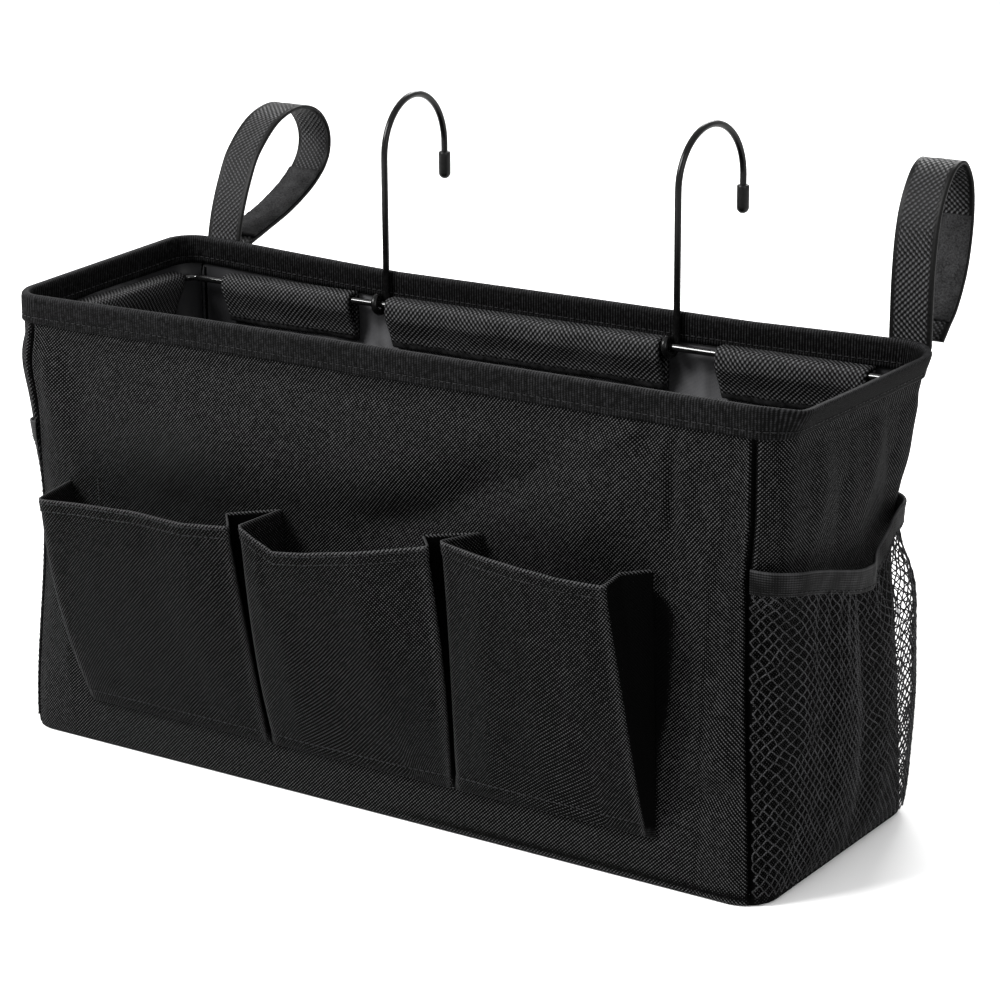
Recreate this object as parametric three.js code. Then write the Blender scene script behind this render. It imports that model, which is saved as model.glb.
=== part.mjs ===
// Bedside caddy: a soft box of woven polyester that hangs on a bed rail. A steel wire ring sewn into
// webbing sleeves holds the mouth open, two wire hooks hang on the ring, and two webbing loops at the
// back close round the rail. Three pleated pockets on the front and a net pocket on each end.
// Millimetres. +Z up, +X along the bag, -Y the front, +Y the side that lies against the bed.
// The origin is the middle of the underside.
import * as THREE from "three";

// Driving sizes of the bag
const bag_height = 200;
const mouth_length = 387; // over the cloth, at the top
const mouth_depth = 127;
const mouth_corner = 14; // plan radius that the wire ring gives the mouth
const mouth_skew = 8; // how far the mouth's front left corner is drawn in towards the middle
const flare_drop = 40; // from the rim to where the walls stop standing straight
const flare_height = bag_height - flare_drop;
const waist_height_share = 0.525; // where the bag is narrowest
const waist_height = waist_height_share * bag_height;
const waist_pull_ends = 17; // how much the net pockets' elastic shortens it there
const waist_pull_front = 2;
const waist_pull_back = 0.3;
const waist_length = mouth_length - waist_pull_ends;
const waist_front = mouth_depth / 2 - waist_pull_front; // from the middle plane to the front
const waist_back = mouth_depth / 2 - waist_pull_back; // and to the back
const waist_corner = 20;
const base_draw_in = 10; // how much shorter than the mouth the base is
const base_spread = 3; // and how much deeper
const base_length = mouth_length - base_draw_in;
const base_depth = mouth_depth + base_spread;
const base_corner = 15;

// Cloth and tape thicknesses, and the gaps that keep neighbours apart
const cloth = 1.0;
const lining_cloth = 0.5;
const tape = 0.8;
const fit_gap = 0.3;
const seam_gap = 0.3;
const seam_turn_mouth = 8; // degrees that the front and back panels reach round each corner at the mouth
const seam_turn_below = 38; // and from the waist down

// Base
const board_thickness = 2.5;

// Rim binding
const binding_drop = 12.5; // a 25 mm grosgrain tape folded in half

// Wire ring
const ring_wire = 3.0;
const ring_drop = 16; // from the rim to the wire's centre

// Webbing sleeves that hold the ring
const sleeve_web = 1.2;
const sleeve_drop = 35.5; // from the rim to the sleeve's lower edge
const sleeve_fold = 2.6; // depth of the folded lower edge
const sleeve_knee = 20; // from the rim to where the sleeve starts to draw in
const end_sleeve_margin = 1.5; // from each sleeve's outer end to where the ring starts to bend
const back_sleeve_margin_left = 15.5;
const back_sleeve_margin_right = 11.5;
const front_sleeve_margin = 29;
const front_sleeve_gap = 24; // between the two front sleeves
const hook_room_left = 17.5; // bare wire beside each hook, away from the middle sleeve
const hook_room_right = 21.8;
const eye_room_left = 2.7; // from a hook's shank to the middle sleeve
const eye_room_right = 5.3;

// Hooks
const hook_wire = 3.0;
const eye_clearance = 0.55; // between the ring wire and the inside of the hook's eye
const lean_gap = 0.4; // between a standing shank and the binding that it leans on
const eye_pitch = 3.4; // how far the eye's turn climbs along the ring
const hook_bend = 25; // radius of the bend that goes over the rail
const hook_rise = 90; // from the ring wire's centre to the top of the bend
const hook_tip = 12; // straight end below the bend
const hook_splay_deg = 3; // each bend leans out a little
const hook_left_inset = 119.7; // from the bag's left end to the left shank
const hook_right_inset = 117.3; // from its right end to the right shank
const hook_left_x = hook_left_inset - mouth_length / 2;
const hook_right_x = mouth_length / 2 - hook_right_inset;
const cap_radius = 2.75;
const cap_length = 12.5;
const cap_bore_depth = 8;
const cap_mouth_radius = 2.45;
const cap_mouth_height = 1.0;

// Webbing loops
const strap_width = 19;
const strap_web = 1.6;
const strap_seam_drop = 4.5; // from the rim to where the loop leaves its stitched ends
const strap_left_inset = 19; // from the bag's left end to the middle of the left loop
const strap_right_inset = 14.5;
const strap_left_x = strap_left_inset - mouth_length / 2;
const strap_right_x = mouth_length / 2 - strap_right_inset;
const strap_left_reach = 71; // how far back the left loop's line goes
const strap_left_rise = 60.5; // and how high
const strap_right_reach = 35;
const strap_right_rise = 71;
const tail_length = 7.5;
const tab_web = 1.2;
const tab_inset = 0.5; // how much narrower the closing tab is than the strap, on each side
const strap_sizes = {
  left: { x: strap_left_x, reach: strap_left_reach, rise: strap_left_rise },
  right: { x: strap_right_x, reach: strap_right_reach, rise: strap_right_rise },
};

// Front pockets
const pocket_count = 3;
const pocket_margin = 52.5; // from the bag's ends to the outer seams
const pocket_pitch = (mouth_length - 2 * pocket_margin) / pocket_count;
const pocket_floor = 21; // height of the bottom seam
const pocket_cloth = 0.9;
const pocket_drop_left = 79; // from the rim to the pocket strip's top edge, which climbs a little
const pocket_drop_right = 70;
const pocket_top_left = bag_height - pocket_drop_left;
const pocket_top_right = bag_height - pocket_drop_right;
const pocket_out_left = 32; // how far each pocket's face stands out at the top
const pocket_out_centre = 31;
const pocket_out_right = 29;
const pocket_out = { left: pocket_out_left, centre: pocket_out_centre, right: pocket_out_right };
const pocket_bottom_out = 1.2;
const pocket_rounding = 2.0; // exponent of the front's vertical curve

// Net pockets
const net_floor = 4;
const net_thickness = 0.8;
const net_strand = 1.7;
const net_columns = 12;
const net_rows = 8;
const net_end_crowding = 0.4; // how much narrower the net's columns are where it rounds the corners
const net_bulge_right = 11.5; // how far each net stands off the end
const net_bulge_left = 9;
const net_bulge = { left: net_bulge_left, right: net_bulge_right };
const net_rise_start = 0.015; // the part of a half wave that the net's bulge follows from floor to band
const net_rise_end = 0.7;
const net_rise_power = 0.6;
const net_fold_depth = 1.4;
const net_folds = 3;
const net_edge_out = 0.6;
const band_height = 10.5;
const band_thickness = 1.6;
const band_drop_right = 63.5; // from the rim to each band's top edge at the front seam
const band_drop_left = 57;
const band_drop_back = 69.5; // and at the back seams
const band_top = { left: bag_height - band_drop_left, right: bag_height - band_drop_right };
const band_top_back = bag_height - band_drop_back;
const band_sag = 3;
const pocket_edge_gap = 0.6; // between the net pocket's side edges and the seams
const net_fullness_right = 3; // how squarely each bulge fills the pocket from edge to edge
const net_fullness_left = 1.5;
const net_fullness = { left: net_fullness_left, right: net_fullness_right };

// Facets
const corner_steps = 3; // in each part of a corner
const front_steps = 2;
const end_steps = 2;
const wall_levels = [4, 6, 2]; // below the waist, up to the flare's top, and above it
const wire_sides = 8;
const eye_steps = 14;
const bend_steps = 14;
const hook_steps = 60;
const dome_steps = 5;
const cap_sides = 14;
const strap_steps = 34;
const tab_steps = 14;
const pocket_levels = 7;
const band_steps = 20;

const degrees = Math.PI / 180;
const lerp = THREE.MathUtils.lerp;
const ease = (share) => (1 - Math.cos(Math.PI * THREE.MathUtils.clamp(share, 0, 1))) / 2;

// A size of the bag's outline at a height: eased from its base value to its waist and on to its mouth.
function atHeight(z, base, waist, mouth) {
  if (z < waist_height) return lerp(base, waist, ease(z / waist_height));
  return lerp(waist, mouth, ease((z - waist_height) / (flare_height - waist_height)));
}
const halfLength = (z) => atHeight(z, base_length, waist_length, mouth_length) / 2;
const frontDepth = (z) => atHeight(z, base_depth / 2, waist_front, mouth_depth / 2);
const backDepth = (z) => atHeight(z, base_depth / 2, waist_back, mouth_depth / 2);
const cornerRadius = (z) => atHeight(z, base_corner, waist_corner, mouth_corner);
const seamTurn = (z) => atHeight(z, seam_turn_below, seam_turn_below, seam_turn_mouth);
const skew = (z) => atHeight(z, 0, 0, mouth_skew);

// A point of the plain outline, moved to the skewed one. The front left corner moves the whole way, the
// other corners stay, and the sides between them stay straight.
function skewed(point) {
  const left_share = 0.5 - point.x / halfLength(point.z) / 2;
  const front_share = 0.5 - point.y / mouth_depth;
  return point.setX(point.x + skew(point.z) * left_share * front_share);
}

// A point of the bag's plan outline. A station says which way the outline faces there (turn in degrees,
// to which seam adds its share of the seam's turn), where its corner centre lies between the corners
// (across and deep, from -1 to 1), and how far it is shifted along the outline. Inset moves the point
// into the bag. The mirrored outline serves the left end.
function outlinePoint(station, z, inset, mirror = false) {
  const r = cornerRadius(z);
  const a = (station.turn + (station.seam || 0) * seamTurn(z)) * degrees;
  const across = station.across * (halfLength(z) - r);
  const deep = lerp(-(frontDepth(z) - r), backDepth(z) - r, (station.deep + 1) / 2);
  const shift = station.shift || 0;
  const x = across + (r - inset) * Math.cos(a) - shift * Math.sin(a);
  const y = deep + (r - inset) * Math.sin(a) + shift * Math.cos(a);
  return skewed(new THREE.Vector3(mirror ? -x : x, y, z));
}

// Stations along one stretch of the outline: a part of a corner, a straight side, a part of a corner.
// Its first turn takes the share seam_from of the seam's turn, and its last one seam_to.
function stretch(turns, seam_from, seam_to, start, end, straight_steps) {
  const [turn_from, turn_side, turn_to] = turns;
  const stations = [];
  for (let i = 0; i < corner_steps; i++) {
    const share = i / corner_steps;
    const turn = lerp(turn_from, turn_side, share);
    stations.push({ ...start, turn, seam: lerp(seam_from, 0, share) });
  }
  for (let i = 0; i <= straight_steps; i++) {
    const share = i / straight_steps;
    stations.push({
      turn: turn_side,
      across: lerp(start.across, end.across, share),
      deep: lerp(start.deep, end.deep, share),
    });
  }
  for (let i = 1; i <= corner_steps; i++) {
    const share = i / corner_steps;
    stations.push({ ...end, turn: lerp(turn_side, turn_to, share), seam: lerp(0, seam_to, share) });
  }
  return stations;
}

const front_left = { across: -1, deep: -1 };
const front_right = { across: 1, deep: -1 };
const back_right = { across: 1, deep: 1 };
const back_left = { across: -1, deep: 1 };
const right_angle = 90;
const front_turns = [-right_angle, -right_angle, -right_angle];
const right_turns = [-right_angle, 0, right_angle];
const back_turns = [right_angle, right_angle, right_angle];
const left_turns = [right_angle, 2 * right_angle, 3 * right_angle];
const front_stations = stretch(front_turns, -1, 1, front_left, front_right, front_steps);
const right_stations = stretch(right_turns, 1, -1, front_right, back_right, end_steps);
const back_stations = stretch(back_turns, -1, 1, back_right, back_left, front_steps);
const left_stations = stretch(left_turns, 1, -1, back_left, front_left, end_steps);
// The whole way round, each seam counted once.
const round_stations = [front_stations, right_stations, back_stations, left_stations].flatMap(
  (stations) => stations.slice(1),
);

const levelsBetween = (low, high, count) =>
  Array.from({ length: count + 1 }, (_, i) => lerp(low, high, i / count));
const wallLevels = (low, high) => [
  ...levelsBetween(low, waist_height, wall_levels[0]),
  ...levelsBetween(waist_height, flare_height, wall_levels[1]).slice(1),
  ...levelsBetween(flare_height, high, wall_levels[2]).slice(1),
];

// Geometry from points and faces, turned to face outwards.
function geometryOf(points, faces) {
  let volume = 0;
  for (const [a, b, c] of faces) {
    volume += points[a].dot(new THREE.Vector3().crossVectors(points[b], points[c]));
  }
  const index = faces.flatMap(([a, b, c]) => (volume < 0 ? [a, c, b] : [a, b, c]));
  const geometry = new THREE.BufferGeometry().setFromPoints(points);
  geometry.setIndex(index);
  geometry.computeVertexNormals();
  return geometry;
}

// The faces of a grid of rows and columns whose first point has number first.
function gridFaces(first, rows, columns, wrap_rows, wrap_columns, flip) {
  const faces = [];
  const number = (i, j) => first + (i % rows) * columns + (j % columns);
  for (let i = 0; i < rows - (wrap_rows ? 0 : 1); i++) {
    for (let j = 0; j < columns - (wrap_columns ? 0 : 1); j++) {
      const [a, b, c, d] = [number(i, j), number(i, j + 1), number(i + 1, j + 1), number(i + 1, j)];
      faces.push(flip ? [a, c, b] : [a, b, c], flip ? [a, d, c] : [a, c, d]);
    }
  }
  return faces;
}

// A thin piece from a net of faces laid twice, over its far and its near points, and closed by a narrow
// wall along every edge that only one face has.
function thicken(far, near, faces) {
  const count = far.length;
  const edges = new Map();
  for (const face of faces) {
    face.forEach((a, i) => {
      const b = face[(i + 1) % face.length];
      edges.set(`${a} ${b}`, [a, b]);
    });
  }
  const all = faces.flatMap(([a, b, c]) => [[a, b, c], [a + count, c + count, b + count]]);
  for (const [a, b] of edges.values()) {
    if (!edges.has(`${b} ${a}`)) all.push([b, a, a + count], [b, a + count, b + count]);
  }
  return geometryOf([...far, ...near], all);
}

// A sheet of cloth from two grids of points, its outer and its inner face.
function sheet(outer, inner) {
  const faces = gridFaces(0, outer.length, outer[0].length, false, false, false);
  return thicken(outer.flat(), inner.flat(), faces);
}

// A profile of [inset, height] points carried all the way round the bag's outline.
function ringRound(profile) {
  const points = round_stations.flatMap((station) =>
    profile.map(([inset, z]) => outlinePoint(station, z, inset)),
  );
  return geometryOf(
    points,
    gridFaces(0, round_stations.length, profile.length, true, true, false),
  );
}

const bag = new THREE.Group();
const cloth_black = new THREE.MeshStandardMaterial({ color: 0x17171a, roughness: 0.85 });
const lining_grey = new THREE.MeshStandardMaterial({ color: 0x2a2a2c, roughness: 0.5 });
const tape_black = new THREE.MeshStandardMaterial({ color: 0x1c1c1e, roughness: 0.8 });
const webbing_black = new THREE.MeshStandardMaterial({ color: 0x1a1a1b, roughness: 0.75 });
const net_black = new THREE.MeshStandardMaterial({ color: 0x121213, roughness: 0.6 });
const black_wire = new THREE.MeshStandardMaterial({ color: 0x0c0c0d, roughness: 0.25, metalness: 0.4 });
const cap_rubber = new THREE.MeshStandardMaterial({ color: 0x0b0b0b, roughness: 0.4 });
const board_grey = new THREE.MeshStandardMaterial({ color: 0x3a3a3a, roughness: 0.6 });

function add(name, geometry, material, parent = bag) {
  const mesh = new THREE.Mesh(geometry, material);
  mesh.name = name;
  parent.add(mesh);
  return mesh;
}

// Wall panels, cut at the four corner seams. They stand on the base panel, and the binding caps them.
const wall_bottom = cloth + fit_gap;
const wall_top = bag_height - tape - fit_gap;
function wallPanel(stations) {
  const last = stations.length - 1;
  const trimmed = stations.map((station, i) => ({
    ...station,
    shift: i === 0 ? seam_gap / 2 : i === last ? -seam_gap / 2 : 0,
  }));
  const face = (inset) =>
    wallLevels(wall_bottom, wall_top).map((z) =>
      trimmed.map((station) => outlinePoint(station, z, inset)),
    );
  return sheet(face(0), face(cloth));
}
add("front_panel", wallPanel(front_stations), cloth_black);
add("back_panel", wallPanel(back_stations), cloth_black);
add("end_panel_left", wallPanel(left_stations), cloth_black);
add("end_panel_right", wallPanel(right_stations), cloth_black);

// A flat piece of the bag's own plan outline, inset from it.
function floorPiece(low, high, inset) {
  const shape = new THREE.Shape(
    round_stations.map((station) => {
      const point = outlinePoint(station, 0, inset);
      return new THREE.Vector2(point.x, point.y);
    }),
  );
  const geometry = new THREE.ExtrudeGeometry(shape, { depth: high - low, bevelEnabled: false });
  return geometry.translate(0, 0, low);
}
const board_bottom = cloth + fit_gap;
const board_top = board_bottom + board_thickness;
const board_inset = cloth + 2 * fit_gap;
add("base_panel", floorPiece(0, cloth, 0), cloth_black);
add("base_board", floorPiece(board_bottom, board_top, board_inset), board_grey);

// Lining: one inner bag with its own floor, just inside the walls and on the board.
const lining_inset = cloth + fit_gap;
const lining_face = lining_inset + lining_cloth;
const lining_floor = board_top + fit_gap;
function liningBag() {
  const columns = round_stations.length;
  const outer = wallLevels(lining_floor, wall_top);
  const inner = wallLevels(lining_floor + lining_cloth, wall_top);
  const ring = (z, inset) => round_stations.map((station) => outlinePoint(station, z, inset));
  const points = [
    ...outer.flatMap((z) => ring(z, lining_inset)),
    ...inner.flatMap((z) => ring(z, lining_face)),
    new THREE.Vector3(0, 0, lining_floor),
    new THREE.Vector3(0, 0, lining_floor + lining_cloth),
  ];
  const rows = outer.length;
  const count = rows * columns;
  const faces = [
    ...gridFaces(0, rows, columns, false, true, false),
    ...gridFaces(count, rows, columns, false, true, true),
  ];
  const top = (rows - 1) * columns;
  for (let j = 0; j < columns; j++) {
    const k = (j + 1) % columns;
    faces.push([top + j, top + k, count + top + k], [top + j, count + top + k, count + top + j]);
    faces.push([k, j, 2 * count], [count + j, count + k, 2 * count + 1]);
  }
  return geometryOf(points, faces);
}
add("lining", liningBag(), lining_grey);

// Rim binding: a grosgrain tape folded over the walls' top edge, as an upside-down U.
const binding_bottom = bag_height - binding_drop;
const binding_crown_share = 0.7; // how much of the crown's width stays flat
const binding_outside = -fit_gap - tape;
const binding_inside = lining_face + fit_gap + tape;
const crown_middle = (binding_outside + binding_inside) / 2;
const crown_half = (binding_inside - binding_outside) / 2;
const binding_profile = [
  [-fit_gap, binding_bottom],
  [binding_outside, binding_bottom],
  [binding_outside, bag_height - tape],
  [crown_middle - crown_half * binding_crown_share, bag_height],
  [crown_middle + crown_half * binding_crown_share, bag_height],
  [binding_inside, bag_height - tape],
  [binding_inside, binding_bottom],
  [lining_face + fit_gap, binding_bottom],
  [lining_face + fit_gap, bag_height - tape],
  [-fit_gap, bag_height - tape],
];
add("rim_binding", ringRound(binding_profile), tape_black);

// Wire ring: one closed loop of steel wire that follows the mouth's outline. It lies just so far inside
// the binding that a hook standing on it leans on the binding.
const ring_height = bag_height - ring_drop;
const ring_inset = binding_inside + lean_gap + hook_wire + eye_clearance + ring_wire / 2;
const wireSection = (radius) =>
  Array.from({ length: wire_sides }, (_, i) => {
    const a = (2 * Math.PI * (i + 0.5)) / wire_sides;
    return [radius * Math.cos(a), radius * Math.sin(a)];
  });
const ring_section = wireSection(ring_wire / 2).map(([x, y]) => [ring_inset + x, ring_height + y]);
add("wire_ring", ringRound(ring_section), black_wire);

// Sleeves: webbing folded over the ring and sewn flat to the lining. The section is drawn with x going
// into the bag from the lining's face and y up from the sleeve's lower edge.
const ring_off_lining = ring_inset - lining_face;
const sleeve_bottom = bag_height - sleeve_drop;
const sleeve_face = ring_off_lining + ring_wire / 2 + fit_gap + sleeve_web;
const sleeve_tip = binding_bottom - fit_gap; // the wall side ends under the binding
const sleeve_crown = ring_height + ring_wire / 2 + fit_gap + sleeve_web;
const binding_face = binding_inside - lining_face;
const crown_start_share = 0.45; // where the sleeve's crown starts, of its depth
const crown_end_share = 0.86;
function sleeveSection() {
  const wall = fit_gap;
  const clear = binding_face + fit_gap;
  const outer = [
    [wall, sleeve_bottom],
    [sleeve_fold, sleeve_bottom],
    [sleeve_face, bag_height - sleeve_knee],
    [sleeve_face, ring_height],
    [sleeve_face * crown_end_share, sleeve_crown - fit_gap],
    [sleeve_face * crown_start_share, sleeve_crown],
    [clear, sleeve_tip + fit_gap],
    [wall, sleeve_tip],
  ];
  const inner = [
    [wall + sleeve_web, sleeve_bottom + 2 * sleeve_web],
    [sleeve_face - sleeve_web, bag_height - sleeve_knee + fit_gap],
    [sleeve_face - sleeve_web, ring_height],
    [sleeve_face * crown_end_share - sleeve_web / 2, sleeve_crown - sleeve_web - fit_gap / 2],
    [sleeve_face * crown_start_share, sleeve_crown - sleeve_web],
    [clear + sleeve_web / 2, sleeve_tip - sleeve_web],
    [wall + sleeve_web, sleeve_tip - 2 * sleeve_web],
  ];
  const shape = new THREE.Shape(outer.map(([x, y]) => new THREE.Vector2(x, y)));
  shape.holes.push(new THREE.Path(inner.map(([x, y]) => new THREE.Vector2(x, y))));
  return shape;
}
// Places the section along a wall: into is the way into the bag.
function sleeve(name, origin, into, length) {
  const geometry = new THREE.ExtrudeGeometry(sleeveSection(), { depth: length, bevelEnabled: false });
  const up = new THREE.Vector3(0, 0, 1);
  const along = new THREE.Vector3().crossVectors(into, up);
  geometry.applyMatrix4(new THREE.Matrix4().makeBasis(into, up, along).setPosition(origin));
  add(name, geometry, webbing_black);
}
const to_right = new THREE.Vector3(1, 0, 0);
const to_back = new THREE.Vector3(0, 1, 0);
const to_front = new THREE.Vector3(0, -1, 0);
const lining_half_depth = mouth_depth / 2 - lining_face;
const lining_half_length = mouth_length / 2 - lining_face;
const straight_half = mouth_length / 2 - mouth_corner;
const back_sleeves = {
  left: [back_sleeve_margin_left - straight_half, hook_left_x - hook_room_left],
  centre: [hook_left_x + eye_room_left, hook_right_x - eye_room_right],
  right: [hook_right_x + hook_room_right, straight_half - back_sleeve_margin_right],
};
for (const [side, [from, to]] of Object.entries(back_sleeves)) {
  const corner = new THREE.Vector3(to, lining_half_depth, 0);
  sleeve(`wire_sleeve_back_${side}`, corner, to_front, to - from);
}
const front_sleeve_end = straight_half - front_sleeve_margin;
const front_sleeves = {
  left: [-front_sleeve_end, -front_sleeve_gap / 2],
  right: [front_sleeve_gap / 2, front_sleeve_end],
};
for (const [side, [from, to]] of Object.entries(front_sleeves)) {
  const corner = new THREE.Vector3(from, -lining_half_depth, 0);
  sleeve(`wire_sleeve_front_${side}`, corner, to_back, to - from);
}
// Each end's sleeve runs along the lining's face there, which the skew turns a little on the left.
function endSleeve(side, sign) {
  const half = mouth_depth / 2 - mouth_corner - end_sleeve_margin;
  const corner = (y) => skewed(new THREE.Vector3(sign * lining_half_length, y, bag_height)).setZ(0);
  const start = corner(-sign * half);
  const along = corner(sign * half).sub(start);
  const into = new THREE.Vector3(-along.y, along.x, 0).normalize();
  sleeve(`wire_sleeve_end_${side}`, start, into, along.length());
}
endSleeve("left", -1);
endSleeve("right", 1);

// Hooks: one length of black wire each, with an eye closed round the ring, a straight shank and a bend
// over the rail. Each is drawn about the ring wire's centre, where it swings.
const eye_radius = ring_wire / 2 + eye_clearance + hook_wire / 2;
const shank_point_shares = [0.12, 0.4, 0.7, 0.92];
function hookPath(splay) {
  const points = [];
  for (let i = 0; i <= eye_steps; i++) {
    const turn = (2 * Math.PI * i) / eye_steps;
    points.push(
      new THREE.Vector3(
        eye_pitch * (i / eye_steps - 1),
        eye_radius * Math.cos(turn),
        eye_radius * Math.sin(turn),
      ),
    );
  }
  const bend_centre = hook_rise - hook_bend;
  for (const share of shank_point_shares) {
    points.push(new THREE.Vector3(0, eye_radius, bend_centre * share));
  }
  for (let i = 0; i <= bend_steps; i++) {
    const turn = Math.PI * (1 - i / bend_steps);
    const back = hook_bend * (1 + Math.cos(turn));
    points.push(
      new THREE.Vector3(
        back * Math.sin(splay),
        eye_radius + back * Math.cos(splay),
        bend_centre + hook_bend * Math.sin(turn),
      ),
    );
  }
  const end = points.at(-1).clone();
  points.push(end.clone().setZ(end.z - hook_tip / 2), end.clone().setZ(end.z - hook_tip));
  return new THREE.CatmullRomCurve3(points, false, "centripetal");
}
// Cap: a moulded rubber bullet with a blind bore that the wire's end pushes into.
function capProfile() {
  const bore = hook_wire / 2 + fit_gap;
  const dome_centre = cap_radius - cap_length;
  const profile = [new THREE.Vector2(0, -cap_length)];
  for (let i = 1; i <= dome_steps; i++) {
    const a = (Math.PI / 2) * (i / dome_steps);
    profile.push(new THREE.Vector2(cap_radius * Math.sin(a), dome_centre - cap_radius * Math.cos(a)));
  }
  profile.push(
    new THREE.Vector2(cap_radius, -cap_mouth_height),
    new THREE.Vector2(cap_mouth_radius, 0),
    new THREE.Vector2(bore, 0),
    new THREE.Vector2(bore, -cap_bore_depth),
    new THREE.Vector2(0, -cap_bore_depth),
  );
  return profile;
}
function hook(side, x, splay_deg) {
  const swing = new THREE.Group();
  swing.position.set(x, mouth_depth / 2 - ring_inset, ring_height);
  bag.add(swing);
  const path = hookPath(splay_deg * degrees);
  const section = wireSection(hook_wire / 2).map(([x, y]) => new THREE.Vector2(x, y));
  const wire = new THREE.ExtrudeGeometry(new THREE.Shape(section), {
    steps: hook_steps,
    extrudePath: path,
    bevelEnabled: false,
  });
  add(`hook_${side}`, wire, black_wire, swing);
  const end = path.getPoint(1);
  const cap = add(`hook_cap_${side}`, new THREE.LatheGeometry(capProfile(), cap_sides), cap_rubber, swing);
  cap.rotation.x = Math.PI / 2;
  cap.position.set(end.x, end.y, end.z + cap_bore_depth - fit_gap);
}
hook("left", hook_left_x, -hook_splay_deg);
hook("right", hook_right_x, hook_splay_deg);

// Webbing loops: each strap leaves its stitched end behind the rim, goes over and comes back down to it,
// where its end presses onto a closing tab on the inside. Its line is drawn from the seam, as points
// [share of its reach back, share of its rise] chosen by hand.
const strap_line_shares = {
  left: [
    [0, 0], [0.005, 0.1], [0.05, 0.3], [0.13, 0.52], [0.24, 0.73], [0.45, 0.93], [0.69, 1],
    [0.885, 0.93], [0.99, 0.76], [0.97, 0.56], [0.82, 0.38], [0.56, 0.22], [0.29, 0.11], [0.11, 0.04],
  ],
  right: [
    [0, 0], [0, 0.11], [0.01, 0.36], [0.07, 0.62], [0.2, 0.81], [0.45, 0.965], [0.73, 1],
    [0.94, 0.89], [1, 0.72], [0.95, 0.53], [0.8, 0.34], [0.5, 0.17], [0.22, 0.06],
  ],
};
const strap_legs_apart = strap_web + fit_gap;
function strapLine(side) {
  const { reach, rise } = strap_sizes[side];
  return new THREE.SplineCurve([
    ...strap_line_shares[side].map(([back, up]) => new THREE.Vector2(back * reach, up * rise)),
    new THREE.Vector2(strap_legs_apart, 0),
  ]);
}
// A strip of webbing along part of a line: from and to are shares of its length, near and far how far
// its two faces lie to the right of the line. A whole strap's ends are cut level.
function strip(line, from, to, steps, near, far, width) {
  const left = [];
  const right = [];
  for (let i = 0; i <= steps; i++) {
    const at = lerp(from, to, i / steps);
    const point = line.getPointAt(at);
    const tangent = line.getTangentAt(at);
    if (at === 0) tangent.set(0, 1);
    if (at === 1) tangent.set(0, -1);
    const normal = new THREE.Vector2(tangent.y, -tangent.x);
    left.push(point.clone().addScaledVector(normal, near));
    right.push(point.clone().addScaledVector(normal, far));
  }
  const shape = new THREE.Shape([...left, ...right.reverse()]);
  const geometry = new THREE.ExtrudeGeometry(shape, { depth: width, bevelEnabled: false });
  geometry.translate(0, 0, -width / 2);
  const up = new THREE.Vector3(0, 0, 1);
  return geometry.applyMatrix4(new THREE.Matrix4().makeBasis(to_back, up, to_right));
}
const tab_from_share = 0.66;
const tab_to_share = 0.95;
const tail_back = mouth_depth / 2 - binding_outside + fit_gap;
const tail_web = 2 * strap_web;
const strap_seam_back = tail_back + tail_web + fit_gap + strap_web / 2;
const strap_seam_height = bag_height - strap_seam_drop;
function strap(side) {
  const loop = new THREE.Group();
  const { x } = strap_sizes[side];
  loop.position.set(x, strap_seam_back, strap_seam_height);
  bag.add(loop);
  const line = strapLine(side);
  const half = strap_web / 2;
  const webbing = strip(line, 0, 1, strap_steps, -half, half, strap_width);
  add(`strap_${side}`, webbing, webbing_black, loop);
  const near = half + fit_gap;
  const tab_width = strap_width - 2 * tab_inset;
  const tab = strip(line, tab_from_share, tab_to_share, tab_steps, near, near + tab_web, tab_width);
  add(`strap_tab_${side}`, tab, webbing_black, loop);
  const tail = new THREE.BoxGeometry(strap_width, tail_web, tail_length);
  tail.translate(x, tail_back + tail_web / 2, strap_seam_height - fit_gap - tail_length / 2);
  add(`strap_tail_${side}`, tail, webbing_black);
}
strap("left");
strap("right");

// Front pockets: one strip of cloth, cut here at its divider seams. Each pocket is a plan line of points
// [share of the pitch from its left seam, share of its depth out from the front, how far its hem rises
// there, share of the pitch at the bottom seam]: a gusset, the face and a pleat folded back. It draws in
// to a nearly flat line at the bottom seam. The last pocket's outer gusset isn't folded.
const pocket_lines = {
  left: [
    [-0.16, 0.01, -2, -0.07],
    [-0.037, 1.06, -0.5, -0.045],
    [0.2, 1.03, 0.2, 0.14],
    [0.5, 1.02, 0.5, 0.48],
    [0.78, 1.03, -1.2, 0.77],
    [1.005, 0.94, -0.5, 0.973],
    [0.862, 0.46, -0.5, 0.983],
    [1.055, 0.02, 0, 0.993],
  ],
  centre: [
    [0.075, 0.02, 0, 0.012],
    [0.075, 0.94, 0.3, 0.06],
    [0.27, 0.99, -7.6, 0.2],
    [0.45, 1.02, -5.8, 0.5],
    [0.7, 1.02, -2, 0.8],
    [1.03, 0.81, 3, 0.98],
    [0.92, 0.45, 3.4, 0.988],
    [1.114, 0.02, 3.4, 0.996],
  ],
  right: [
    [0.134, 0.02, 3.4, 0.015],
    [0.08, 0.71, 4.6, 0.045],
    [0.298, 0.9, 3.6, 0.2],
    [0.53, 1, 1.9, 0.5],
    [0.7, 1, 0.3, 0.8],
    [0.899, 0.91, -0.8, 0.975],
    [0.894, 0.48, 0.9, 0.985],
    [0.968, 0.02, -0.5, 1.01],
  ],
};
const pocket_bow = 4; // how far the pockets' right creases swing out sideways at half height
const pocket_bow_shares = [0, 0.3, 0.3, 0.4, 0.6, 1, 1, 0];
const least_corner_share = 0.5; // keeps the outside of a sharp crease from running far out
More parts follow.
